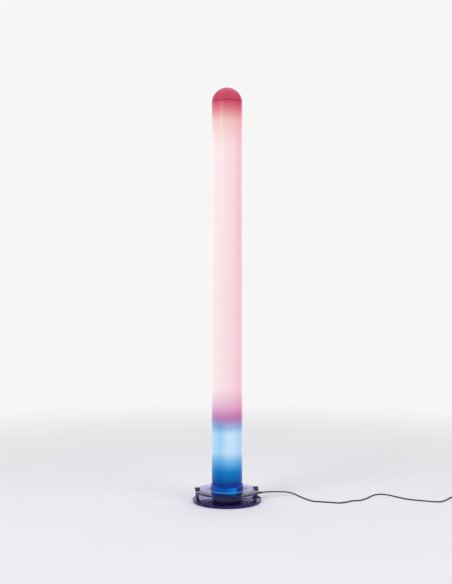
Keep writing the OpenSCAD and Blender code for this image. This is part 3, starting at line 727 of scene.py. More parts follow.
@dataclass(frozen=True)
class Film(Finish):
    """Thin coloured film round a lamp: part is seen through, part glows, most of all beside the lamp."""

    stops: tuple[tuple[float, Colour], ...] = ()
    cover: float = 0.6
    glow: float = 0.3

    def paint(self, bench: Bench) -> None:
        """Tone = ramp(height), painted light that is brighter beside the lamp and darker towards the film's
        ends, less slight folds, which also move its gloss and relief.
        """
        folds = bench.grain(16, 3, (1, 1, 0.2))
        tone = bench.scaled(bench.by_height(self.stops), 1 - folds * 0.2)
        bench.close(bench.surface({
            # the painted light is both the base colour and the glow
            "Base Color": tone,
            "Roughness": folds * 0.12 + 0.08,
            "Alpha": self.cover,
            "Emission Color": tone,
            "Emission Strength": self.glow,
            "Normal": bench.bump(folds, 0.4 * MM, 0.4),
        }))
        bench.material.cycles.emission_sampling = "NONE"


class Light:
    """Colours of the lamp's own light, as a few named ones; they are painted on its opal parts and its
    collar.
    """

    DEEP_ROSE = colour(170, 55, 80)
    ROSE = colour(200, 75, 100)
    SALMON = colour(225, 130, 140)
    BLUSH = colour(245, 210, 205)
    WARM_WHITE = colour(255, 235, 240)
    ORCHID = colour(235, 195, 225)
    PINK_MAUVE = colour(205, 140, 195)
    MAUVE = colour(180, 140, 195)
    PERIWINKLE = colour(160, 190, 230)
    ICE = colour(200, 230, 255)
    SKY = colour(120, 190, 240)
    AZURE = colour(0, 130, 200)
    COBALT = colour(0, 85, 160)
    INK = colour(20, 50, 135)
    NIGHT = colour(30, 25, 90)


# Painted light of the inner lamps: dim blue at the foot, white up the column and rose under the dome; the
# sides ramp is painted shade, darker towards the right, and the foot_sides ramp is painted light of the blue
# lamp.
OPAL_TUBE = Opal("opal_tube", "opal_acrylic", stops=(
    (0.09, Light.INK), (0.11, Light.COBALT), (0.16, Light.AZURE), (0.21, Light.SKY), (0.25, Light.ICE),
    (0.34, Light.ICE), (0.37, Light.PERIWINKLE), (0.41, Light.MAUVE), (0.43, Light.PINK_MAUVE),
    (0.48, Light.ORCHID), (0.56, Light.WARM_WHITE), (1.74, Light.WARM_WHITE), (1.87, Light.BLUSH),
    (1.93, Light.SALMON), (1.97, Light.ROSE),
), sides=((0.07, (1, 1, 1)), (0.27, (0.99, 0.96, 0.92)), (0.5, (0.985, 0.88, 0.89)),
          (0.73, (0.96, 0.81, 0.85)), (0.93, (0.96, 0.69, 0.76))),
    foot_sides=((0.07, (0.8, 0.95, 0.95)), (0.27, (0.6, 0.85, 0.95)), (0.52, (1, 1, 1)), (0.7, (1, 1, 1)),
                (0.93, (0.75, 0.85, 0.95))))
# Painted light of the pink lamps: the dome is dimmer in a thin band at its foot and towards its top, the ring
# towards its top, and both sides ramps are painted shade, darker at the right.
OPAL_DOME = Opal("opal_dome", "opal_dome", stops=(
    (1.970, Light.DEEP_ROSE), (1.9735, Light.DEEP_ROSE), (1.977, Light.ROSE), (2.018, Light.ROSE),
    (2.046, Light.DEEP_ROSE),
), sides=((0.03, (0.97, 0.95, 1)), (0.2, (1, 1, 1)), (0.75, (1, 1, 1)), (0.97, (0.86, 0.83, 0.86))),
    glow=0.83, body=0.15, gloss=0.04, roughness=0.36)
OPAL_RING = Opal("opal_ring", "joint_acrylic", stops=(
    (1.955, Light.ROSE), (1.986, Light.DEEP_ROSE),
), sides=((0.1, (1, 1, 1)), (0.9, (0.95, 0.95, 0.95))))
# The dark violet below is the discs' rim colour: partly their deep tint seen along them, partly painted
# shade.
RIM_TINT_AND_SHADE = (0.024, 0.015, 0.1)
CLEAR_LOWER = Clear("clear_lower_disc", "clear_acrylic", (0.17, 0.115, 0.4), RIM_TINT_AND_SHADE, 168.5 * MM,
                    (0.6, 0.55, 0.85))
CLEAR_UPPER = Clear("clear_upper_disc", "clear_acrylic", (0.36, 0.27, 0.66), RIM_TINT_AND_SHADE, 157.2 * MM,
                    (0.75, 0.7, 0.92))
CLEAR_POST = Clear("clear_post", "clear_acrylic", (0.17, 0.115, 0.4), RIM_TINT_AND_SHADE, 1.0, (0.6, 0.55, 0.85))
CLEAR_COLLAR = EdgeLit("edge_lit_collar", "clear_collar", (0.01, 0.05, 0.14), (0.01, 0.05, 0.14), 1.0,
                       (0.4, 0.7, 1), (0.1, 0.2, 0.4),
                       sides=((0.03, Light.NIGHT), (0.1, Light.COBALT), (0.45, Light.COBALT),
                              (0.74, Light.AZURE), (0.83, Light.INK), (0.97, Light.NIGHT)),
                       dim=Light.INK, foot=Light.SKY)
FROSTED = Moulded("frosted_acrylic", "frosted_acrylic", (0.78, 0.78, 0.82), 0.45, 900, 0.04 * MM, 0.04)
KNOB = Moulded("knob_plastic", "knob_plastic", (0.028, 0.017, 0.06), 0.24, 1800, 0.01 * MM, 0.1, 0.6)
HOUSING = Moulded("housing_plastic", "housing_plastic", (0.015, 0.011, 0.066), 0.3, 1400, 0.02 * MM, 0.15,
                  0.3)
RUBBER = Moulded("foot_rubber", "rubber_foot", (0.026, 0.02, 0.082), 0.78, 1100, 0.08 * MM, 0.2)
CORD_RUBBER = Moulded("cord_rubber", "cord_rubber", (0.018, 0.018, 0.021), 0.6, 1300, 0.05 * MM, 0.2)
PVC = Moulded("cord_sheath", "cord_pvc", (0.008, 0.007, 0.01), 0.46, 1500, 0.03 * MM, 0.25, shine=0.3)
SWITCH = Moulded("switch_plastic", "switch_plastic", (0.02, 0.02, 0.023), 0.5, 1700, 0.06 * MM, 0.12)
BUTTON = Moulded("button_plastic", "button_plastic", (0.07, 0.07, 0.078), 0.36, 1700, 0.02 * MM, 0.08, 0.2)
TIE = Moulded("tie_strap", "tie_plastic", (0.03, 0.03, 0.034), 0.85, 2600, 0.25 * MM, 0.3)
WHITE = Moulded("white_plastic", "white_plastic", (0.8, 0.8, 0.77), 0.42, 1300, 0.02 * MM, 0.03)
LAMP_BASE = Moulded("lamp_base", "lamp_base", (0.82, 0.82, 0.8), 0.36, 1300, 0.02 * MM, 0.03)
PAINT = Moulded("white_paint", "white_paint", (0.8, 0.8, 0.8), 0.5, 1000, 0.05 * MM, 0.03)
INSULATION = Moulded("wire_insulation", "wire_insulation", (0.62, 0.62, 0.62), 0.4, 1500, 0.01 * MM, 0.05)
NYLON = Moulded("nylon", "nylon", (0.55, 0.55, 0.6), 0.5, 1200, 0.02 * MM, 0.05)
IRON = Moulded("painted_iron", "weight_iron", (0.06, 0.06, 0.066), 0.6, 500, 0.2 * MM, 0.25)
STEEL = Metal("zinc_steel", "steel", (0.6, 0.6, 0.63), 0.34)
ALUMINIUM = Metal("satin_aluminium", "aluminium", (0.74, 0.74, 0.76), 0.36)
PIN = Metal("nickel_pin", "pin_brass", (0.72, 0.68, 0.56), 0.26, Axis.Y)
# Painted light: each film is brighter beside its lamp and darker towards its ends, in its base colour and its
# glow.
PINK_FILM = Film("pink_sleeve", "pink_sleeve", (
    (0.42, colour(236, 120, 150)), (0.52, colour(255, 184, 202)), (1.84, colour(255, 184, 202)),
    (1.95, colour(236, 110, 140))), 0.8, 0.62)
BLUE_FILM = Film("blue_sleeve", "blue_filter", (
    (0.06, colour(18, 60, 180)), (0.14, colour(16, 110, 218)), (0.22, colour(70, 168, 245)),
    (0.30, colour(96, 184, 250)), (0.37, colour(30, 120, 222))), 0.85, 0.55)


# ---- Pieces ----


def placed(name: str, data: bpy.types.ID) -> bpy.types.Object:
    """A new object of this data, in the scene."""
    thing = bpy.data.objects.new(name, data)
    bpy.context.scene.collection.objects.link(thing)
    return thing


def declared(piece: bpy.types.Object, body: Body, nodes: Sequence[str]) -> bpy.types.Object:
    """Hangs a piece on its body and hides the CAD nodes that it stands for.

    Args:
        piece: the finished piece.
        body: the body that it rides on.
        nodes: the CAD nodes that it stands for.

    Returns:
        The piece.
    """
    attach(piece, body.value)
    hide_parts(*nodes)
    return piece


def add_piece(name: str, source: bpy.types.Mesh | Sequence[Shell], finish: Finish, *nodes: str,
              body: Body = Body.ROOT) -> bpy.types.Object:
    """Makes a finished piece and hangs it on its body.

    Args:
        name: its name.
        source: its mesh or its shells, in the row frame.
        finish: its finish, whose material it takes.
        nodes: the CAD nodes that it stands for.
        body: the body that it rides on.

    Returns:
        The new object.
    """
    mesh = source if isinstance(source, bpy.types.Mesh) else mesh_of(source)
    mesh.name = name
    mesh.shade_smooth()
    mesh.set_sharp_from_angle(angle=CREASE)
    mesh.materials.append(finish.material())
    LOG.info("%s: %d faces", name, len(mesh.polygons))
    return declared(placed(name, mesh), body, nodes)


def evaluated(mesh: bpy.types.Mesh, kind: str, **settings: object) -> bpy.types.Mesh:
    """The mesh after one modifier; the mesh that it starts from is removed.

    Args:
        mesh: the mesh to start from.
        kind: the modifier's type.
        settings: the modifier's properties.

    Returns:
        A new mesh with the modifier's result.
    """
    blank = placed("blank", mesh)
    modifier = blank.modifiers.new("change", kind)
    for key, value in settings.items():
        setattr(modifier, key, value)
    result = bpy.data.meshes.new_from_object(blank.evaluated_get(bpy.context.evaluated_depsgraph_get()))
    bpy.data.objects.remove(blank)
    bpy.data.meshes.remove(mesh)
    return result


def drilled(shells: Sequence[Shell], cutters: Sequence[Shell]) -> bpy.types.Mesh:
    """Cuts spaces out of shells.

    Args:
        shells: the solid shapes.
        cutters: the spaces to cut; each reaches past the surfaces that it opens.

    Returns:
        One mesh of what is left.
    """
    tool = placed("tool", mesh_of(cutters))
    result = evaluated(mesh_of(shells), "BOOLEAN", operation="DIFFERENCE", solver="EXACT", object=tool)
    bpy.data.objects.remove(tool)
    return result


def joined(*meshes: bpy.types.Mesh) -> bpy.types.Mesh:
    """Lays meshes together without a weld.

    Args:
        meshes: the meshes, which are removed.

    Returns:
        One mesh with all their faces.
    """
    whole, result = bmesh.new(), bpy.data.meshes.new("joined")
    for mesh in meshes:
        whole.from_mesh(mesh)
        bpy.data.meshes.remove(mesh)
    whole.to_mesh(result)
    whole.free()
    return result


def adopt(node: str, name: str, finish: Finish, edge: float = 0.0,
          body: Body = Body.ROOT) -> bpy.types.Object:
    """Makes a piece that keeps a CAD node's own shape, its flat faces joined from the node's triangles.

    Args:
        node: the CAD node.
        name: the piece's name.
        finish: its finish, whose material it takes.
        edge: width of its rounded edges, or 0 to keep them sharp.
        body: the body that it rides on.

    Returns:
        The new object.
    """
    work, mesh = merged_copy(node), bpy.data.meshes.new("adopted")
    bmesh.ops.dissolve_limit(work, angle_limit=FLAT, verts=work.verts, edges=work.edges)
    work.to_mesh(mesh)
    work.free()
    if edge:
        mesh = evaluated(mesh, "BEVEL", width=edge * MM, segments=2, limit_method="ANGLE", angle_limit=SHARP)
    return add_piece(name, mesh, finish, node, body=body)


def threaded(radius: float, low: float, high: float, pitch: float, around: int = 24) -> np.ndarray:
    """Rings of a threaded stretch.

    Args:
        radius: radius over the thread's crests.
        low, high: its two ends.
        pitch: rise of the thread in one turn.
        around: points in each ring.

    Returns:
        The rings: r = radius - 0.45 pitch (1 + cos(2 pi h / pitch - a)) / 2 at height h and angle a.
    """
    angle = full_turn(around)
    height = np.linspace(low, high, max(int((high - low) / pitch * 5), 2))[:, None]
    r = radius - 0.45 * pitch * (1 + np.cos(2 * math.pi * height / pitch - angle)) / 2
    return np.stack([r * np.cos(angle), r * np.sin(angle), np.repeat(height, around, 1)], axis=2)


def fluted(rings: np.ndarray, radius: float, count: int, depth: float, share: np.ndarray) -> Shell:
    """A turned piece with upright grooves in its side.

    Args:
        rings: the plain piece.
        radius: its radius.
        count: number of grooves.
        depth: depth of a groove.
        share: how much of the depth each point takes, from 0 to 1.

    Returns:
        The shell, with x and y times 1 - share depth (1 + cos(count a)) / 2 / radius at angle a.
    """
    cut = 1 - share * depth * (1 + np.cos(count * full_turn(rings.shape[1]))) / 2 / radius
    return Shell(rings * np.stack([cut, cut, np.ones_like(cut)], 2))


@dataclass(frozen=True)
class Screw:
    """Socket screws of one node; the head is as wide as the node's solid, the rest is named."""

    node: str
    shank: float
    head: float
    pitch: float
    axis: Axis = Axis.Z
    head_high: bool = False

    def shell(self, radius: float, length: float, around: int = 24) -> Shell:
        """The screw from its head's outer face, at height 0, to its tip.

        Args:
            radius: radius of the head.
            length: whole length.
            around: points in each ring.

        Returns:
            The shell; its six-sided socket has the radius flat / cos(a - 30 degrees) in each sixth of a turn.
        """
        angle = full_turn(around)
        six = radius * 0.45 / np.cos(np.mod(angle, math.pi / 3) - math.pi / 6)
        soft = self.head * 0.25

        def ring(r: np.ndarray | float, height: float) -> np.ndarray:
            """One ring of radius r at a height."""
            return np.stack([r * np.cos(angle), r * np.sin(angle), np.full(around, height)], axis=1)

        head = np.stack([ring(six, self.head * 0.6), ring(six, 0), ring(radius - soft, 0),
                         ring(radius - soft * 0.3, soft * 0.3), ring(radius, soft), ring(radius, self.head),
                         ring(self.shank, self.head)])
        thread = threaded(self.shank, self.head + 0.3, length - 0.6, self.pitch, around)
        return Shell(np.concatenate([head, thread, ring(self.shank * 0.7, length)[None]]))

    def build(self) -> bpy.types.Object:
        """Makes one piece of all screws in the node."""
        shells, along = [], self.axis.value
        across = Axis.Y if self.axis is Axis.X else Axis.X
        for solid in solids_of(self.node):
            at = solid.centre
            at[along] = (solid.high if self.head_high else solid.low)[along]
            shell = self.shell(solid.size[across.value] / 2, solid.size[along])
            shells.append(shell.along(self.axis, at, self.head_high))
        return add_piece(f"{self.node}_set", shells, STEEL, self.node)


def ribbed(low: float, high: float, wide: float, narrow: float, ribs: int, depth: float) -> np.ndarray:
    """Outline of a tapered, ribbed boot.

    Args:
        low, high: its two ends.
        wide, narrow: its radius at low and at high.
        ribs: number of grooves.
        depth: depth of a groove.

    Returns:
        (radius, height) points: the taper less depth (1 - cos(2 pi ribs t)) / 2 at share t of the length.
    """
    t = np.linspace(0, 1, ribs * 8 + 1)
    r = wide + (narrow - wide) * t - depth * (1 - np.cos(2 * math.pi * ribs * t)) / 2
    return np.stack([r, low + (high - low) * t], axis=1)


def screw_holes(node: str, shank: float, head: float, head_room: float = 0.4, room: float = 0.1,
                past: float = 40) -> list[Shell]:
    """Spaces for a node's screws, which come from below: the head's recess and the shank's hole of each.

    Args:
        node: the screws' node.
        shank: radius of the shank.
        head: height of the head.
        head_room: room round and above the head.
        room: room round the shank.
        past: how far the space reaches below the screw and above it.

    Returns:
        The cutters.
    """
    cutters = []
    for screw in solids_of(node):
        wide, narrow = screw.radius + head_room, shank + room
        low, step, high = screw.low.z - past, screw.low.z + head, screw.high.z + past
        profile = [(0, low), (wide, low), (wide, step), (narrow, step), (narrow, high), (0, high)]
        cutters.append(lathe(profile, 32, False).over(screw))
    return cutters


# ---- The base ----


@dataclass(frozen=True)
class Base:
    """Foot ring, the two clear discs with their posts and knobs, the dark housing and its weight."""

    rim: float = 1.0
    bore: float = 3.1
    bore_depth: float = 12
    hole_r: float = 64
    knob_bore_depth: float = 6
    knob_ribs: int = 44
    rib_depth: float = 0.3
    foot_width: float = 14
    groove_depth: float = 0.5
    groove_slope: float = 0.4
    collar_wall: float = 4.5
    stud_tip: float = 0.6
    around: int = 144

    def foot(self) -> None:
        """Rubber ring with two shallow grooves in its lower face."""
        ring = extent("foot_ring")
        outer, inner, top = ring.radius, ring.radius - self.foot_width, ring.high.z
        outline = [(inner, top, 0.3), (outer, top, 0.3), (outer, 0, 0.4)]
        for share in (0.65, 0.35):
            r, half = inner + share * self.foot_width, 0.1 * self.foot_width
            outline += [(r + half + self.groove_slope, 0, 0), (r + half, self.groove_depth, 0),
                        (r - half, self.groove_depth, 0), (r - half - self.groove_slope, 0, 0)]
        outline.append((inner, 0, 0.4))
        add_piece("foot_pad", [lathe(outline, self.around)], RUBBER, "foot_ring")

    def discs(self) -> None:
        """Both clear discs, with the holes and recesses of their screws."""
        holes = [*screw_holes("post_screws", 3, 2.8), *screw_holes("housing_screws", 2, 2.8),
                 *screw_holes("clip_screws", 1.5, 2.2)]
        disc = filled(extent("lower_disc"), self.rim, self.around)
        add_piece("lower_plate", drilled([disc], holes), CLEAR_LOWER, "lower_disc")
        high = extent("upper_disc")
        disc = pipe(high, high.radius - self.hole_r, self.rim, self.around)
        bore = rod(self.bore, high.low.z - 1, high.high.z + 1, 0, 32)
        holes = [bore.over(stud) for stud in solids_of("post_studs")]
        add_piece("upper_plate", drilled([disc], holes), CLEAR_UPPER, "upper_disc")

    def collar(self) -> None:
        """Clear ring round the foot of the tube, with a polished slope at its top."""
        ring = extent("collar")
        outer, inner, top = ring.radius, ring.radius - self.collar_wall, ring.high.z
        outline = [(inner, ring.low.z, 0.3), (outer, ring.low.z, 0.4),
                   (outer, top - self.rim, 0.3), (outer - self.rim, top, 0.3),
                   (inner, top, 0.4)]
        add_piece("collar_ring", [lathe(outline, self.around)], CLEAR_COLLAR, "collar")

    def post(self, side: str) -> None:
        """Clear post with a blind bore in each end."""
        post = extent(f"post_{side}")
        low, high, deep = post.low.z, post.high.z, self.bore_depth
        outline = [(0, low + deep, 0), (self.bore, low + deep, 0), (self.bore, low, 0.2),
                   (post.radius, low, 0.4), (post.radius, high, 0.4),
                   (self.bore, high, 0.2), (self.bore, high - deep, 0), (0, high - deep, 0)]
        add_piece(f"clear_post_{side}", [lathe(outline, 64, False).over(post)], CLEAR_POST, f"post_{side}")

    def knob(self, side: str) -> None:
        """Knob with a low crown and fine upright ribs, which fade out towards the crown's inner parts."""
        knob = extent(f"knob_{side}")
        r, low, top, deep = knob.radius, knob.low.z, knob.high.z, knob.low.z + self.knob_bore_depth
        outline = [(0, deep, 0), (self.bore, deep, 0), (self.bore, low, 0.2),
                   (r - 0.8, low, 0.3), (r, low + 0.8, 0.4),
                   (r, top - 2.6, 1.0), (r - 1.2, top - 1, 1.2),
                   (r - 3.4, top - 0.2, 2.0), (0, top, 0)]
        rings = lathe(outline, self.knob_ribs * 4, False, 4).rings
        share = np.clip((np.hypot(rings[..., 0], rings[..., 1]) - (r - 1.2)) / (1.0), 0, 1)
        shell = fluted(rings, r, self.knob_ribs, self.rib_depth, share).over(knob)
        add_piece(f"knob_cap_{side}", [shell], KNOB, f"knob_{side}")

    def fittings(self) -> None:
        """Studs, washers, screws, the housing, its weight and the terminal block."""
        studs = []
        for stud in solids_of("post_studs"):
            thread = threaded(stud.radius, self.stud_tip, stud.size.z - self.stud_tip, 1)
            ends = thread[[0, -1]] * np.array([0.75, 0.75, 0])
            ends[1, :, 2] = stud.size.z
            studs.append(Shell(np.concatenate([ends[:1], thread, ends[1:]])).over(stud, stud.low.z))
        add_piece("stud_pair", studs, STEEL, "post_studs")
        washers = [pipe(w, w.radius - self.bore, 0.2, 64).over(w) for w in solids_of("knob_washers")]
        add_piece("washer_pair", washers, NYLON, "knob_washers")
        Screw("post_screws", 3, 2.4, 1.0).build()
        Screw("housing_screws", 2, 2.4, 0.7).build()
        Screw("clip_screws", 1.5, 1.8, 0.5).build()
        add_piece("weight", [filled(extent("counterweight"), 1, 96)], IRON, "counterweight")
        adopt("housing", "housing_cup", HOUSING)
        adopt("terminal_block", "terminal_strip", WHITE, 0.7)

    def build(self) -> None:
        """Makes the whole base."""
        self.foot()
        self.discs()
        self.collar()
        for make in (self.post, self.knob):
            for side in ("left", "right"):
                make(side)
        self.fittings()


# ---- The carrier and its lamps ----


@dataclass(frozen=True)
class Carrier:
    """Everything that stands inside the tube: mast, brackets, rings, ballast and leads."""

    sheet_edge: float = 0.3

    def build(self) -> None:
        """Makes the plate, the mast and what is screwed to it."""
        adopt("foot_plate", "foot_casting", ALUMINIUM, 0.5)
        adopt("mast", "mast_channel", PAINT, self.sheet_edge)
        for node in ("bracket_lower", "bracket_upper", "globe_bracket"):
            adopt(node, f"{node}_plate", PAINT, self.sheet_edge)
        for node in ("centring_ring_lower", "centring_ring_upper"):
            adopt(node, f"{node}_disc", FROSTED, 0.4)
        adopt("ballast", "ballast_case", PAINT, 0.8)
        Screw("plate_screws", 2, 2.3, 0.7, head_high=True).build()
        Screw("mast_screws", 1.5, 1.8, 0.5, axis=Axis.Y).build()
        add_piece("leads", [filled(s, 0.3, 20).over(s) for s in solids_of("wiring")], INSULATION, "wiring")


@dataclass(frozen=True)
class LinearLamps:
    """The two long lamps with their end caps, holders and pink sleeves."""

    glass_wall: float = 0.8
    neck: float = 1.2
    shoulder: float = 4
    cap: float = 10
    cap_r: float = 13
    pin_r: float = 1.2
    pin_reach: float = 6.35
    sleeve_wall: float = 1.0

    def glass(self, side: str) -> None:
        """Glass tube with its ends drawn in a little."""
        glass = extent(f"lamp_{side}")
        r, low, high = glass.radius, glass.low.z, glass.high.z
        inner, neck, below, above = r - self.glass_wall, self.neck, low + self.shoulder, high - self.shoulder
        outline = [(inner - neck, low, 0.3), (r - neck, low, 0.3), (r, below, 2),
                   (r, above, 2), (r - neck, high, 0.3), (inner - neck, high, 0.3),
                   (inner, above, 2), (inner, below, 2)]
        finish = Lit("lamp_glow", "lamp_glass", colour(255, 246, 246), colour(150, 128, 132), low * MM,
                     high * MM, 40 * MM, 1.05)
        add_piece(f"lamp_glass_{side}", [lathe(outline, 48).over(glass)], finish, f"lamp_{side}")

    def cap_shells(self, end: Extent, up: bool) -> list[Shell]:
        """One end cap and its two pins.

        Args:
            end: box of the cap with its pins.
            up: whether the pins point up.

        Returns:
            The cap, with a crimped groove, and both pins with round tips.
        """
        r, pins = self.cap_r, end.size.z - self.cap
        outline = [(0, 0, 0), (r, 0, 0.3), (r, 2.6, 0.5), (r - 0.5, 3.2, 0.5),
                   (r - 0.5, 3.9, 0.5), (r, 4.5, 0.5),
                   (r, self.cap - 1, 1.2), (r - 2.2, self.cap, 1.2), (0, self.cap, 0)]
        face = Vector((end.centre.x, end.centre.y, end.low.z if up else end.high.z))
        shells = [lathe(outline, 48, False).along(Axis.Z, face, not up)]
        for side in (-1, 1):
            pin = rod(self.pin_r, self.cap - 0.2, self.cap + pins, 0.5, 20)
            shells.append(pin.along(Axis.Z, face + Vector((0, side * self.pin_reach, 0)), not up))
        return shells

    def build(self) -> None:
        """Makes both lamps from their ends to their sleeves."""
        for side in ("left", "right"):
            self.glass(side)
            ends = sorted(solids_of(f"lamp_caps_{side}"), key=lambda end: end.low.z)
            caps = self.cap_shells(ends[0], False) + self.cap_shells(ends[-1], True)
            add_piece(f"lamp_ends_{side}", caps, ALUMINIUM, f"lamp_caps_{side}")
            film = extent(f"sleeve_{side}")
            shell = pipe(film, self.sleeve_wall, 0.3, 48).over(film)
            add_piece(f"pink_film_{side}", [shell], PINK_FILM, f"sleeve_{side}")
            for end in ("lower", "upper"):
                adopt(f"holder_{end}_{side}", f"lamp_holder_{end}_{side}", WHITE, 0.9)


@dataclass(frozen=True)
class CompactLamp:
    """The lamp behind the blue film at the foot."""

    film_wall: float = 0.8
    glass_wall: float = 1.0
    socket: float = 26
    socket_r: float = 13.2
    thread_r: float = 13
    ribs: int = 24
    rib_depth: float = 0.5

    def holder(self) -> None:
        """Holder with its open socket, and with ribs between its plain ends."""
        seat = extent("globe_holder")
        r, high = seat.radius, seat.size.z
        outline = [(0, 0, 0), (r - 1, 0, 0.6), (r, 4, 1), (r, 5, 0), (r, high - 6, 0),
                   (r, high - 5, 0), (r, high, 1), (self.socket_r, high, 0.4),
                   (self.socket_r, high - self.socket, 0), (0, high - self.socket, 0)]
        rings = lathe(outline, self.ribs * 6, False, 4).rings
        side = (np.hypot(rings[..., 0], rings[..., 1]) > r - 0.1)
        side &= (rings[..., 2] > 4.9) & (rings[..., 2] < high - 5.9)
        shell = fluted(rings, r, self.ribs, self.rib_depth, side).over(seat, seat.low.z)
        add_piece("screw_holder", [shell], WHITE, "globe_holder")

    def foot(self) -> None:
        """Lamp base: a plain case with a groove above its screw thread."""
        base = extent("globe_base")
        r, top, seat = base.radius, base.size.z, self.socket - 1
        thread = threaded(self.thread_r, 5, seat - 0.5, 3.6, 48)
        below = lathe([(0, 0), (5, 0), (self.thread_r - 1.6, 5)], 48, False).rings
        case = [(self.thread_r, seat, 0), (r - 1, seat, 0.5), (r, seat + 2, 1),
                (r, top - 9, 0.3), (r - 0.5, top - 8.6, 0.3),
                (r - 0.5, top - 7.8, 0.3), (r, top - 7.4, 0.3),
                (r, top, 0.6), (0, top, 0)]
        shell = Shell(np.concatenate([below, thread, lathe(case, 48, False).rings])).over(base, base.low.z)
        add_piece("lamp_case", [shell], LAMP_BASE, "globe_base")

    def glass(self) -> None:
        """Glass open below, its top (r cos t, r sin t) for t from 0 to 90 degrees over an upright wall."""
        glass = extent("globe")
        low, high, centre = glass.low.z, glass.high.z, glass.high.z - glass.radius
        turn = np.linspace(0, math.pi / 2, 13)[:, None]

        def wall(r: float) -> np.ndarray:
            """Outline of one face of the glass, from its foot to its top."""
            return np.concatenate([[[r, low]], np.hstack([r * np.cos(turn), centre + r * np.sin(turn)])])

        outline = np.concatenate([wall(glass.radius), wall(glass.radius - self.glass_wall)[::-1]])
        finish = Lit("globe_glow", "globe_glass", colour(232, 246, 255), colour(120, 150, 175), low * MM,
                     high * MM + 0.1, 12 * MM, 1.0)
        add_piece("lamp_bulb", [lathe(outline, 64).over(glass)], finish, "globe")

    def build(self) -> None:
        """Makes holder, base, glass and film."""
        self.holder()
        self.foot()
        self.glass()
        film = pipe(extent("filter_sleeve"), self.film_wall, 0.2)
        add_piece("blue_film", [film], BLUE_FILM, "filter_sleeve")


# ---- The diffuser ----


@dataclass(frozen=True)
class Diffuser:
    """Opal tube and dome, which lift off, and the ring between them."""

    wall: float = 3
    rim: float = 0.6
    around: int = 160
    steps: int = 40

    def build(self) -> None:
        """Makes tube, ring and dome; the dome's outline is (r cos t, r sin t) for t from 0 to 90 degrees."""
        tube = pipe(extent("diffuser_tube"), self.wall, self.rim, self.around)
        add_piece("opal_column", [tube], OPAL_TUBE, "diffuser_tube", body=Body.DIFFUSER)
        dome = extent("dome")
        r, low, inner = dome.radius, dome.low.z, dome.radius - self.wall
        turn = np.linspace(0, math.pi / 2, self.steps + 1)[1:, None]
        foot = rounded([(inner, low + 4, 0), (inner, low, self.rim), (r, low, self.rim),
                        (r, low + 2, 0)], 4)[1:-1]
        outer = np.hstack([r * np.cos(turn), low + r * np.sin(turn)])
        hollow = np.hstack([inner * np.cos(turn), low + inner * np.sin(turn)])[::-1]
        shell = lathe(np.concatenate([foot, outer, hollow]), self.around)
        add_piece("opal_top", [shell], OPAL_DOME, "dome", body=Body.DOME)
        adopt("joint_ring", "joint_band", OPAL_RING, 0.4, Body.DIFFUSER)


# ---- The cord and what is on it ----


@dataclass(frozen=True)
class CordWay:
    """The cord's way from the housing to the plug, as its points in millimetres."""

    radius: float = 3.2
    turn: float = math.radians(25)
    exit_z: float = 25.0
    clip_r: float = 164.0
    boot_r: float = 196.0
    lie: float = 3.3
    low: float = 4.8
    rise: float = 7.0
    coil_x: float = 1232.0
    coil_y: float = -6.0
    coil_out: float = 44.0
    coil_in: float = 26.0
    pitch: float = 8.0
    turns: int = 5
    layer: float = 2.25
    per_turn: int = 32
    to_switch: tuple[tuple[float, ...], ...] = (
        (206, 96, 24.6), (240, 106, 22.8), (272, 118, 20), (308, 137, 14), (340, 130, 8), (360, 100, 4.2),
        (378, 64), (398, 22), (424, -14), (462, -28), (506, -40), (548, -52), (586, -36), (622, -8), (660, 2),
        (692, 36), (720, 80), (750, 122), (784, 137), (818, 122), (850, 82), (886, 40), (930, 10), (974, -8),
        (1016, -26), (1048, -28), (1076, -4), (1100, 28), (1122, 58, 4.4), (1146, 78, 7), (1175, 84, 8))
    to_coil: tuple[tuple[float, ...], ...] = (
        (1249, 84, 8), (1262, 82, 7.8), (1277, 68, 6.8), (1281, 48, 5.6), (1277.5, 24, 4.8), (1276, 0.4, 4.8))
    to_plug: tuple[tuple[float, ...], ...] = (
        (1276, -12.4, 11.8), (1276, -26, 11.2), (1276, -42, 9.4), (1276, -58, 8))

    def smooth(self, route: Sequence[Sequence[float]], steps: int = 6) -> np.ndarray:
        """Smooth curve through a route in millimetres, in metres; a point without a height lies on the floor.

        It is a cubic between each two points, with the slope (next - last) / 2 at each.
        """
        points = np.array([(*p[:2], p[2] if len(p) > 2 else self.lie) for p in route]) * MM
        p = np.concatenate([points[:1], points, points[-1:]])
        a, b, c, d = (p[k:len(p) - 3 + k, None] for k in range(4))
        t = (np.arange(steps) / steps)[None, :, None]
        square, cube = 2 * a - 5 * b + 4 * c - d, 3 * b - a - 3 * c + d
        curve = 0.5 * (2 * b + (c - a) * t + square * t**2 + cube * t**3)
        return np.concatenate([curve.reshape(-1, 3), points[-1:]])

    def lamp_to_switch(self) -> np.ndarray:
        """From the clip's outer face to the switch."""
        x, y = math.cos(self.turn), math.sin(self.turn)
        out = [(r * x, r * y, self.exit_z) for r in (self.clip_r, self.boot_r)]
        return self.smooth((*out, *self.to_switch))

    def coil(self) -> np.ndarray:
        """The coil's points.

        The radius falls by the pitch in each turn of the lower layer, rests for half a turn in which the cord
        climbs by 3 t^2 - 2 t^3 of its rise, and grows by the pitch in each turn of the upper layer.
        """
        turn = np.arange(self.turns * self.per_turn + 1) / self.per_turn
        r = np.where(turn < self.layer, self.coil_out - self.pitch * turn,
                     self.coil_in + self.pitch * np.maximum(turn - self.layer - 0.5, 0))
        t = np.clip((turn - self.layer) / 0.5, 0, 1)
        height = self.low + self.rise * t * t * (3 - 2 * t)
        angle = -2 * math.pi * turn
        return np.stack([self.coil_x + r * np.cos(angle), self.coil_y + r * np.sin(angle), height], 1) * MM

    def switch_to_plug(self) -> np.ndarray:
        """From the switch through the coil to the plug's boot."""
        return np.concatenate([self.smooth(self.to_coil), self.coil(), self.smooth(self.to_plug)])

    def outward(self, shell: Shell) -> Shell:
        """A shell whose +Z is laid along the cord's way out of the base, from the lamp's axis."""
        return shell.along(Axis.X, Vector((0, 0, self.exit_z))).turned(self.turn)


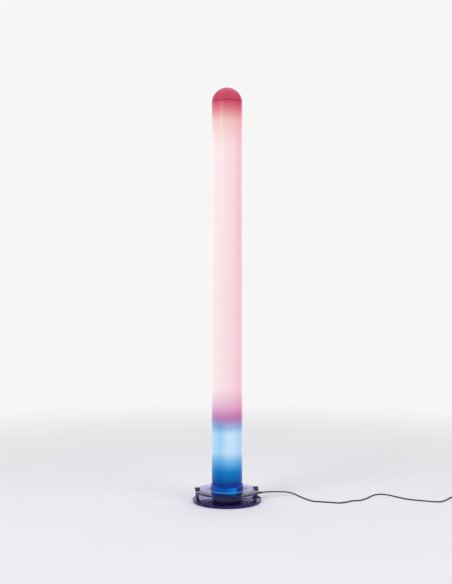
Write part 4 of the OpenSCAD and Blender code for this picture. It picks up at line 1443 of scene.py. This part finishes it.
def cord_piece(name: str, points: np.ndarray, radius: float, *nodes: str) -> bpy.types.Object:
    """A free cord as one open curve with a round section.

    Args:
        name: the piece's name.
        points: its centreline.
        radius: its radius.
        nodes: the CAD nodes that it stands for.

    Returns:
        The curve object.
    """
    curve = bpy.data.curves.new(name, "CURVE")
    curve.dimensions = "3D"
    curve.bevel_depth = radius
    curve.bevel_resolution = 5
    curve.use_fill_caps = True
    line = curve.splines.new("POLY")
    line.points.add(len(points) - 1)
    line.points.foreach_set("co", np.hstack([points, np.ones((len(points), 1))]).astype(np.float32).ravel())
    line.use_smooth = True
    curve.materials.append(PVC.material())
    LOG.info("%s: %d points", name, len(points))
    return declared(placed(name, curve), Body.ROOT, nodes)


@dataclass(frozen=True)
class FloorCord:
    """Cord, strain relief, foot switch, coil with its tie, and plug."""

    way: CordWay = field(default_factory=CordWay)
    bore: float = 3.3
    inner_end: float = 17
    grommet_at: float = 70.06
    grommet_lip: float = 1.5
    grommet_neck: float = 3.54
    corner: float = 10
    split: float = 12.6
    wall: float = 2.4
    button_gap: float = 0.5
    flange: float = 2
    flange_t: float = 1.5
    tie_t: float = 1.2
    plug_case: float = 34
    plug_round: float = 2.5
    plug_waist: float = 1.4

    def clip(self) -> bpy.types.Object:
        """Clip block on the disc, with its ribbed boot."""
        way, box = self.way, extent("cord_clip")
        near, far, tip = way.clip_r - 18, way.clip_r, way.boot_r
        tall, inside = box.size.z, far - 0.01
        levels = [(0, 0), (0, tall - 1.6), (0.5, tall - 0.5), (1.6, tall)]
        body = block((far - near, 24), 3, levels, ((near + far) / 2, 0, box.low.z)).turned(way.turn)
        bore = way.outward(rod(self.bore, near - 1, far + 1, 0, 32))
        holes = screw_holes("clip_screws", 1.5, 1.8, 0.1, past=0.4)
        boot = np.concatenate([ribbed(inside, tip, 7.5, 4.6, 6, 0.9),
                               [[self.bore, tip], [self.bore, inside]]])
        mesh = joined(drilled([body], [bore, *holes]), mesh_of([way.outward(lathe(boot, 48))]))
        return add_piece("cord_anchor", mesh, CORD_RUBBER, "cord_clip")

    def inside_base(self) -> None:
        """The cord inside the base, and the grommet round it in the housing's wall."""
        inside = rod(self.way.radius, self.inner_end, self.way.clip_r, 0, 32)
        add_piece("cord_in_base", [self.way.outward(inside)], PVC, "cord_inside")
        lip, neck, edge = 7, 5, 0.4
        x0, x1 = self.grommet_at, self.grommet_at + self.grommet_lip
        x2, x3 = x1 + self.grommet_neck, x1 + self.grommet_neck + self.grommet_lip
        outline = [(self.bore, x0, 0), (lip, x0, edge), (lip, x1, edge), (neck, x1, 0), (neck, x2, 0),
                   (lip, x2, edge), (lip, x3, edge), (self.bore, x3, 0)]
        add_piece("wall_grommet", [self.way.outward(lathe(outline, 48))], CORD_RUBBER, "grommet")

    def switch(self) -> list[bpy.types.Object]:
        """Foot switch: lower shell, cover with the button's opening, button, works and screws."""
        base, key, top = extent("switch_base"), extent("switch_button"), extent("switch_cover").high.z
        at, split = (base.centre.x, base.centre.y, 0), self.split

        def case(*levels: tuple[float, float]) -> Shell:
            """One half of the case, by (inset, height) levels."""
            return block(base.size, self.corner, levels, at)

        def room(low: float, high: float) -> Shell:
            """The space in one half."""
            wide = (base.size.x - 2 * self.wall - 18, base.size.y - 2 * self.wall)
            return block(wide, self.corner - self.wall, [(0, low), (0, high)], at)

        shell = case((3, 0), (1.2, 0.4), (0.3, 1.4), (0, 3), (0, split - 0.4),
                     (0.3, split))
        cutters = [room(self.wall, split + 1), *screw_holes("switch_screws", 1.5, 2.2, past=6)]
        pieces = [add_piece("switch_lower_shell", drilled([shell], cutters), SWITCH, "switch_base")]
        shell = case((0.3, split), (0, split + 0.4), (0, top - 4), (0.4, top - 2.4),
                     (1.4, top - 1), (3, top - 0.3), (5, top))
        reach = key.radius - self.flange
        opening = rod(reach + self.button_gap, split, top + 1, 0, 64).over(key)
        cutters = [room(split - 1, top - self.wall), opening]
        cutters += [rod(1.6, split - 1, split + 4, 0, 24).over(s) for s in solids_of("switch_screws")]
        pieces.append(add_piece("switch_upper_shell", drilled([shell], cutters), SWITCH, "switch_cover"))
        low, high, r, step = key.low.z, key.high.z, key.radius, key.low.z + self.flange_t
        outline = [(0, low, 0), (r, low, 0.2), (r, step, 0.2), (reach, step, 0),
                   (reach, high, 1.4), (reach - 2.4, high, 1),
                   (reach - 5, high - 0.8, 4), (0, high - 1, 0)]
        button = lathe(outline, 72, False, 4).over(key)
        pieces.append(add_piece("foot_button", [button], BUTTON, "switch_button", body=Body.BUTTON))
        pieces.append(adopt("switch_core", "switch_works", WHITE, 0.8))
        pieces.append(Screw("switch_screws", 1.5, 1.8, 0.5).build())
        return pieces

    def tie(self) -> bpy.types.Object:
        """Strap round the coil: a rounded loop carried across its width, with soft edges."""
        loop, t, soft = extent("coil_tie"), self.tie_t, 0.3

        def outline(inset: float, corner: float) -> np.ndarray:
            """The loop's (x, z) points at an inset."""
            x0, x1 = loop.low.x + inset, loop.high.x - inset
            z0, z1 = loop.low.z + inset, loop.high.z - inset
            return rounded([(x0, z0, corner), (x1, z0, corner), (x1, z1, corner), (x0, z1, corner)], 6)

        def ring(line: np.ndarray, y: float) -> np.ndarray:
            """A loop of (x, z) points at y."""
            return np.stack([line[:, 0], np.full(len(line), y), line[:, 1]], axis=1)

        outer, inner = outline(0, 3), outline(t, 1.8)
        middle, y0, y1 = (outer + inner) / 2, loop.low.y, loop.high.y
        near, close = middle + (outer - middle) * 0.5, middle + (inner - middle) * 0.5
        rings = np.stack([ring(near, y0), ring(outer, y0 + soft), ring(outer, y1 - soft), ring(near, y1),
                          ring(close, y1), ring(inner, y1 - soft), ring(inner, y0 + soft), ring(close, y0)])
        return add_piece("coil_strap", [Shell(rings, True)], TIE, "coil_tie")

    def plug(self) -> list[bpy.types.Object]:
        """Plug body with a ribbed boot, and its two round pins.

        At share t of the case's length its sides are drawn in by a quarter circle at both ends and by the
        waist times exp(-((t - 0.62) / 0.16)^2).
        """
        plug, pins, long = extent("plug_body"), solids_of("plug_pins"), self.plug_case
        face, height, middle = plug.low.y, plug.size.z / 2, plug.centre.x
        t = np.linspace(0, 1, 25)
        edge = np.minimum(np.minimum(t, 1 - t) * long / self.plug_round, 1)
        inset = self.plug_round * (1 - np.sqrt(1 - (1 - edge) ** 2))
        inset = inset + self.plug_waist * np.exp(-((t - 0.62) / 0.16) ** 2)
        case = block((plug.size.x, plug.size.z), 6, np.stack([inset, t * long], axis=1), (0, 0, 0), 10)
        case = Shell(case.rings[..., [0, 2, 1]] + np.array([middle, face, height]))
        end = plug.high.y - face - long + 2
        outline = [[[0, 0]], ribbed(0, end, 7.5, 4.4, 4, 0.8), [[0, end]]]
        root = Vector((middle, face + long - 2, height))
        boot = lathe(np.concatenate(outline), 48, False).along(Axis.Y, root)
        bores = [rod(2.1, -8, 1, 0, 24).along(Axis.Y, Vector((pin.centre.x, face, height)), True)
                 for pin in pins]
        prongs = [rod(2, 0, pin.size.y, 1.2, 32).along(
            Axis.Y, Vector((pin.centre.x, pin.low.y, height))) for pin in pins]
        whole = joined(drilled([case], bores), mesh_of([boot]))
        return [add_piece("plug_case", whole, CORD_RUBBER, "plug_body"),
                add_piece("plug_prongs", prongs, PIN, "plug_pins")]

    def build(self) -> None:
        near, far, radius = self.way.lamp_to_switch(), self.way.switch_to_plug(), self.way.radius * MM
        first = cord_piece("lamp_cord", near, radius, "cord")
        second = cord_piece("plug_cord", far, radius, "cord_to_coil", "cord_coil", "cord_to_plug")
        clip = self.clip()
        self.inside_base()
        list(self.switch())
        self.tie()
        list(self.plug())


# ---- The studio ----


@dataclass(frozen=True)
class Studio:
    """Camera, floor, world and lamps of the photograph."""

    eye: tuple[float, float, float] = (-0.005, -4.475, 1.035)
    focal_px: float = 904.0
    sensor: float = 36.0
    far: float = 60.0
    floor_r: float = 9000.0
    floor_t: float = 2
    fade: tuple[float, float] = (0.3, 4.2)
    pale: Colour = colour(246, 246, 247)
    ground: Colour = colour(232, 231, 233)
    sky: Colour = (0.9, 0.92, 1.0)
    sky_power: float = 0.35

    def camera(self) -> None:
        """Level camera in front of the lamp; its lens is focal_px / IMAGE_H x sensor."""
        data = bpy.data.cameras.new("camera")
        data.sensor_fit = "VERTICAL"
        data.sensor_height = self.sensor
        data.sensor_width = self.sensor * IMAGE_W / IMAGE_H
        data.lens = self.focal_px / IMAGE_H * self.sensor
        data.clip_end = self.far
        camera = placed("camera", data)
        camera.location = self.eye
        camera.rotation_euler = (math.pi / 2, 0, 0)
        bpy.context.scene.camera = camera

    def floor(self) -> None:
        """Round floor whose colour runs into the background's away from the lamp."""
        mesh = mesh_of([rod(self.floor_r, -self.floor_t, 0, 0, 128)])
        bench = Bench("floor_paint")
        away = bench.step(bench.reach(), *self.fade)
        paint = bench.surface({"Base Color": self.ground, "Roughness": bench.grain(40, 3) * 0.1 + 0.7})
        glow = bench.out(bench.node("ShaderNodeEmission", None, {0: self.pale, 1: 1.0}), 0)
        bench.close(bench.join(paint, glow, away))
        mesh.materials.append(bench.material)
        placed("floor", mesh)

    def world(self) -> None:
        """World that lights softly, and that eyes, metal and glass see in the background's colour."""
        world = bpy.data.worlds.new("studio")
        world.use_nodes = True
        bpy.context.scene.world = world
        tree = world.node_tree
        tree.nodes.clear()
        path = tree.nodes.new("ShaderNodeLightPath")
        seen = path.outputs["Is Camera Ray"]
        for ray in ("Is Glossy Ray", "Is Transmission Ray"):
            both = tree.nodes.new("ShaderNodeMath")
            both.operation = "MAXIMUM"
            tree.links.new(seen, both.inputs[0])
            tree.links.new(path.outputs[ray], both.inputs[1])
            seen = both.outputs[0]
        mix = tree.nodes.new("ShaderNodeMixShader")
        for slot, (tone, strength) in enumerate(((self.sky, self.sky_power), (self.pale, 1.0)), 1):
            light = tree.nodes.new("ShaderNodeBackground")
            light.inputs[0].default_value = (*tone, 1)
            light.inputs[1].default_value = strength
            tree.links.new(light.outputs[0], mix.inputs[slot])
        tree.links.new(seen, mix.inputs[0])
        tree.links.new(mix.outputs[0], tree.nodes.new("ShaderNodeOutputWorld").inputs[0])

    def lamp(self, name: str, at: Sequence[float], target: Sequence[float], side: float,
             power: float) -> None:
        """Soft square lamp that points from one place to another.

        Args:
            name: its name.
            at, target: where it is and where it points.
            side: length of its sides, in metres.
            power: in watts.
        """
        data = bpy.data.lights.new(name, "AREA")
        data.shape = "RECTANGLE"
        data.size = data.size_y = side
        data.energy = power
        lamp = placed(name, data)
        lamp.location = at
        lamp.rotation_euler = (Vector(target) - Vector(at)).to_track_quat("-Z", "Y").to_euler()

    def build(self) -> None:
        """Makes floor and world, a key lamp at the left, a fill at the right and one overhead."""
        bpy.context.scene.view_settings.view_transform = "Standard"
        self.floor()
        self.world()
        self.lamp("key", (-3.0, -3.2, 3.4), (0, 0, 0.9), 2.2, 90)
        self.lamp("fill", (3.2, -2.6, 2.2), (0, 0, 0.8), 2.4, 48)
        self.lamp("overhead", (0.0, 0.6, 4.4), (0, 0, 0), 3.0, 95)


def main() -> None:
    """Builds the camera and the cord first, then the lamp from the floor up, and the studio last."""
    logging.basicConfig(level=logging.INFO, format="%(message)s")
    studio = Studio()
    studio.camera()
    for part in (FloorCord(), Base(), Carrier(), LinearLamps(), CompactLamp(), Diffuser(), studio):
        LOG.info("== %s", type(part).__name__)
        part.build()


if __name__ == "__main__":
    main()
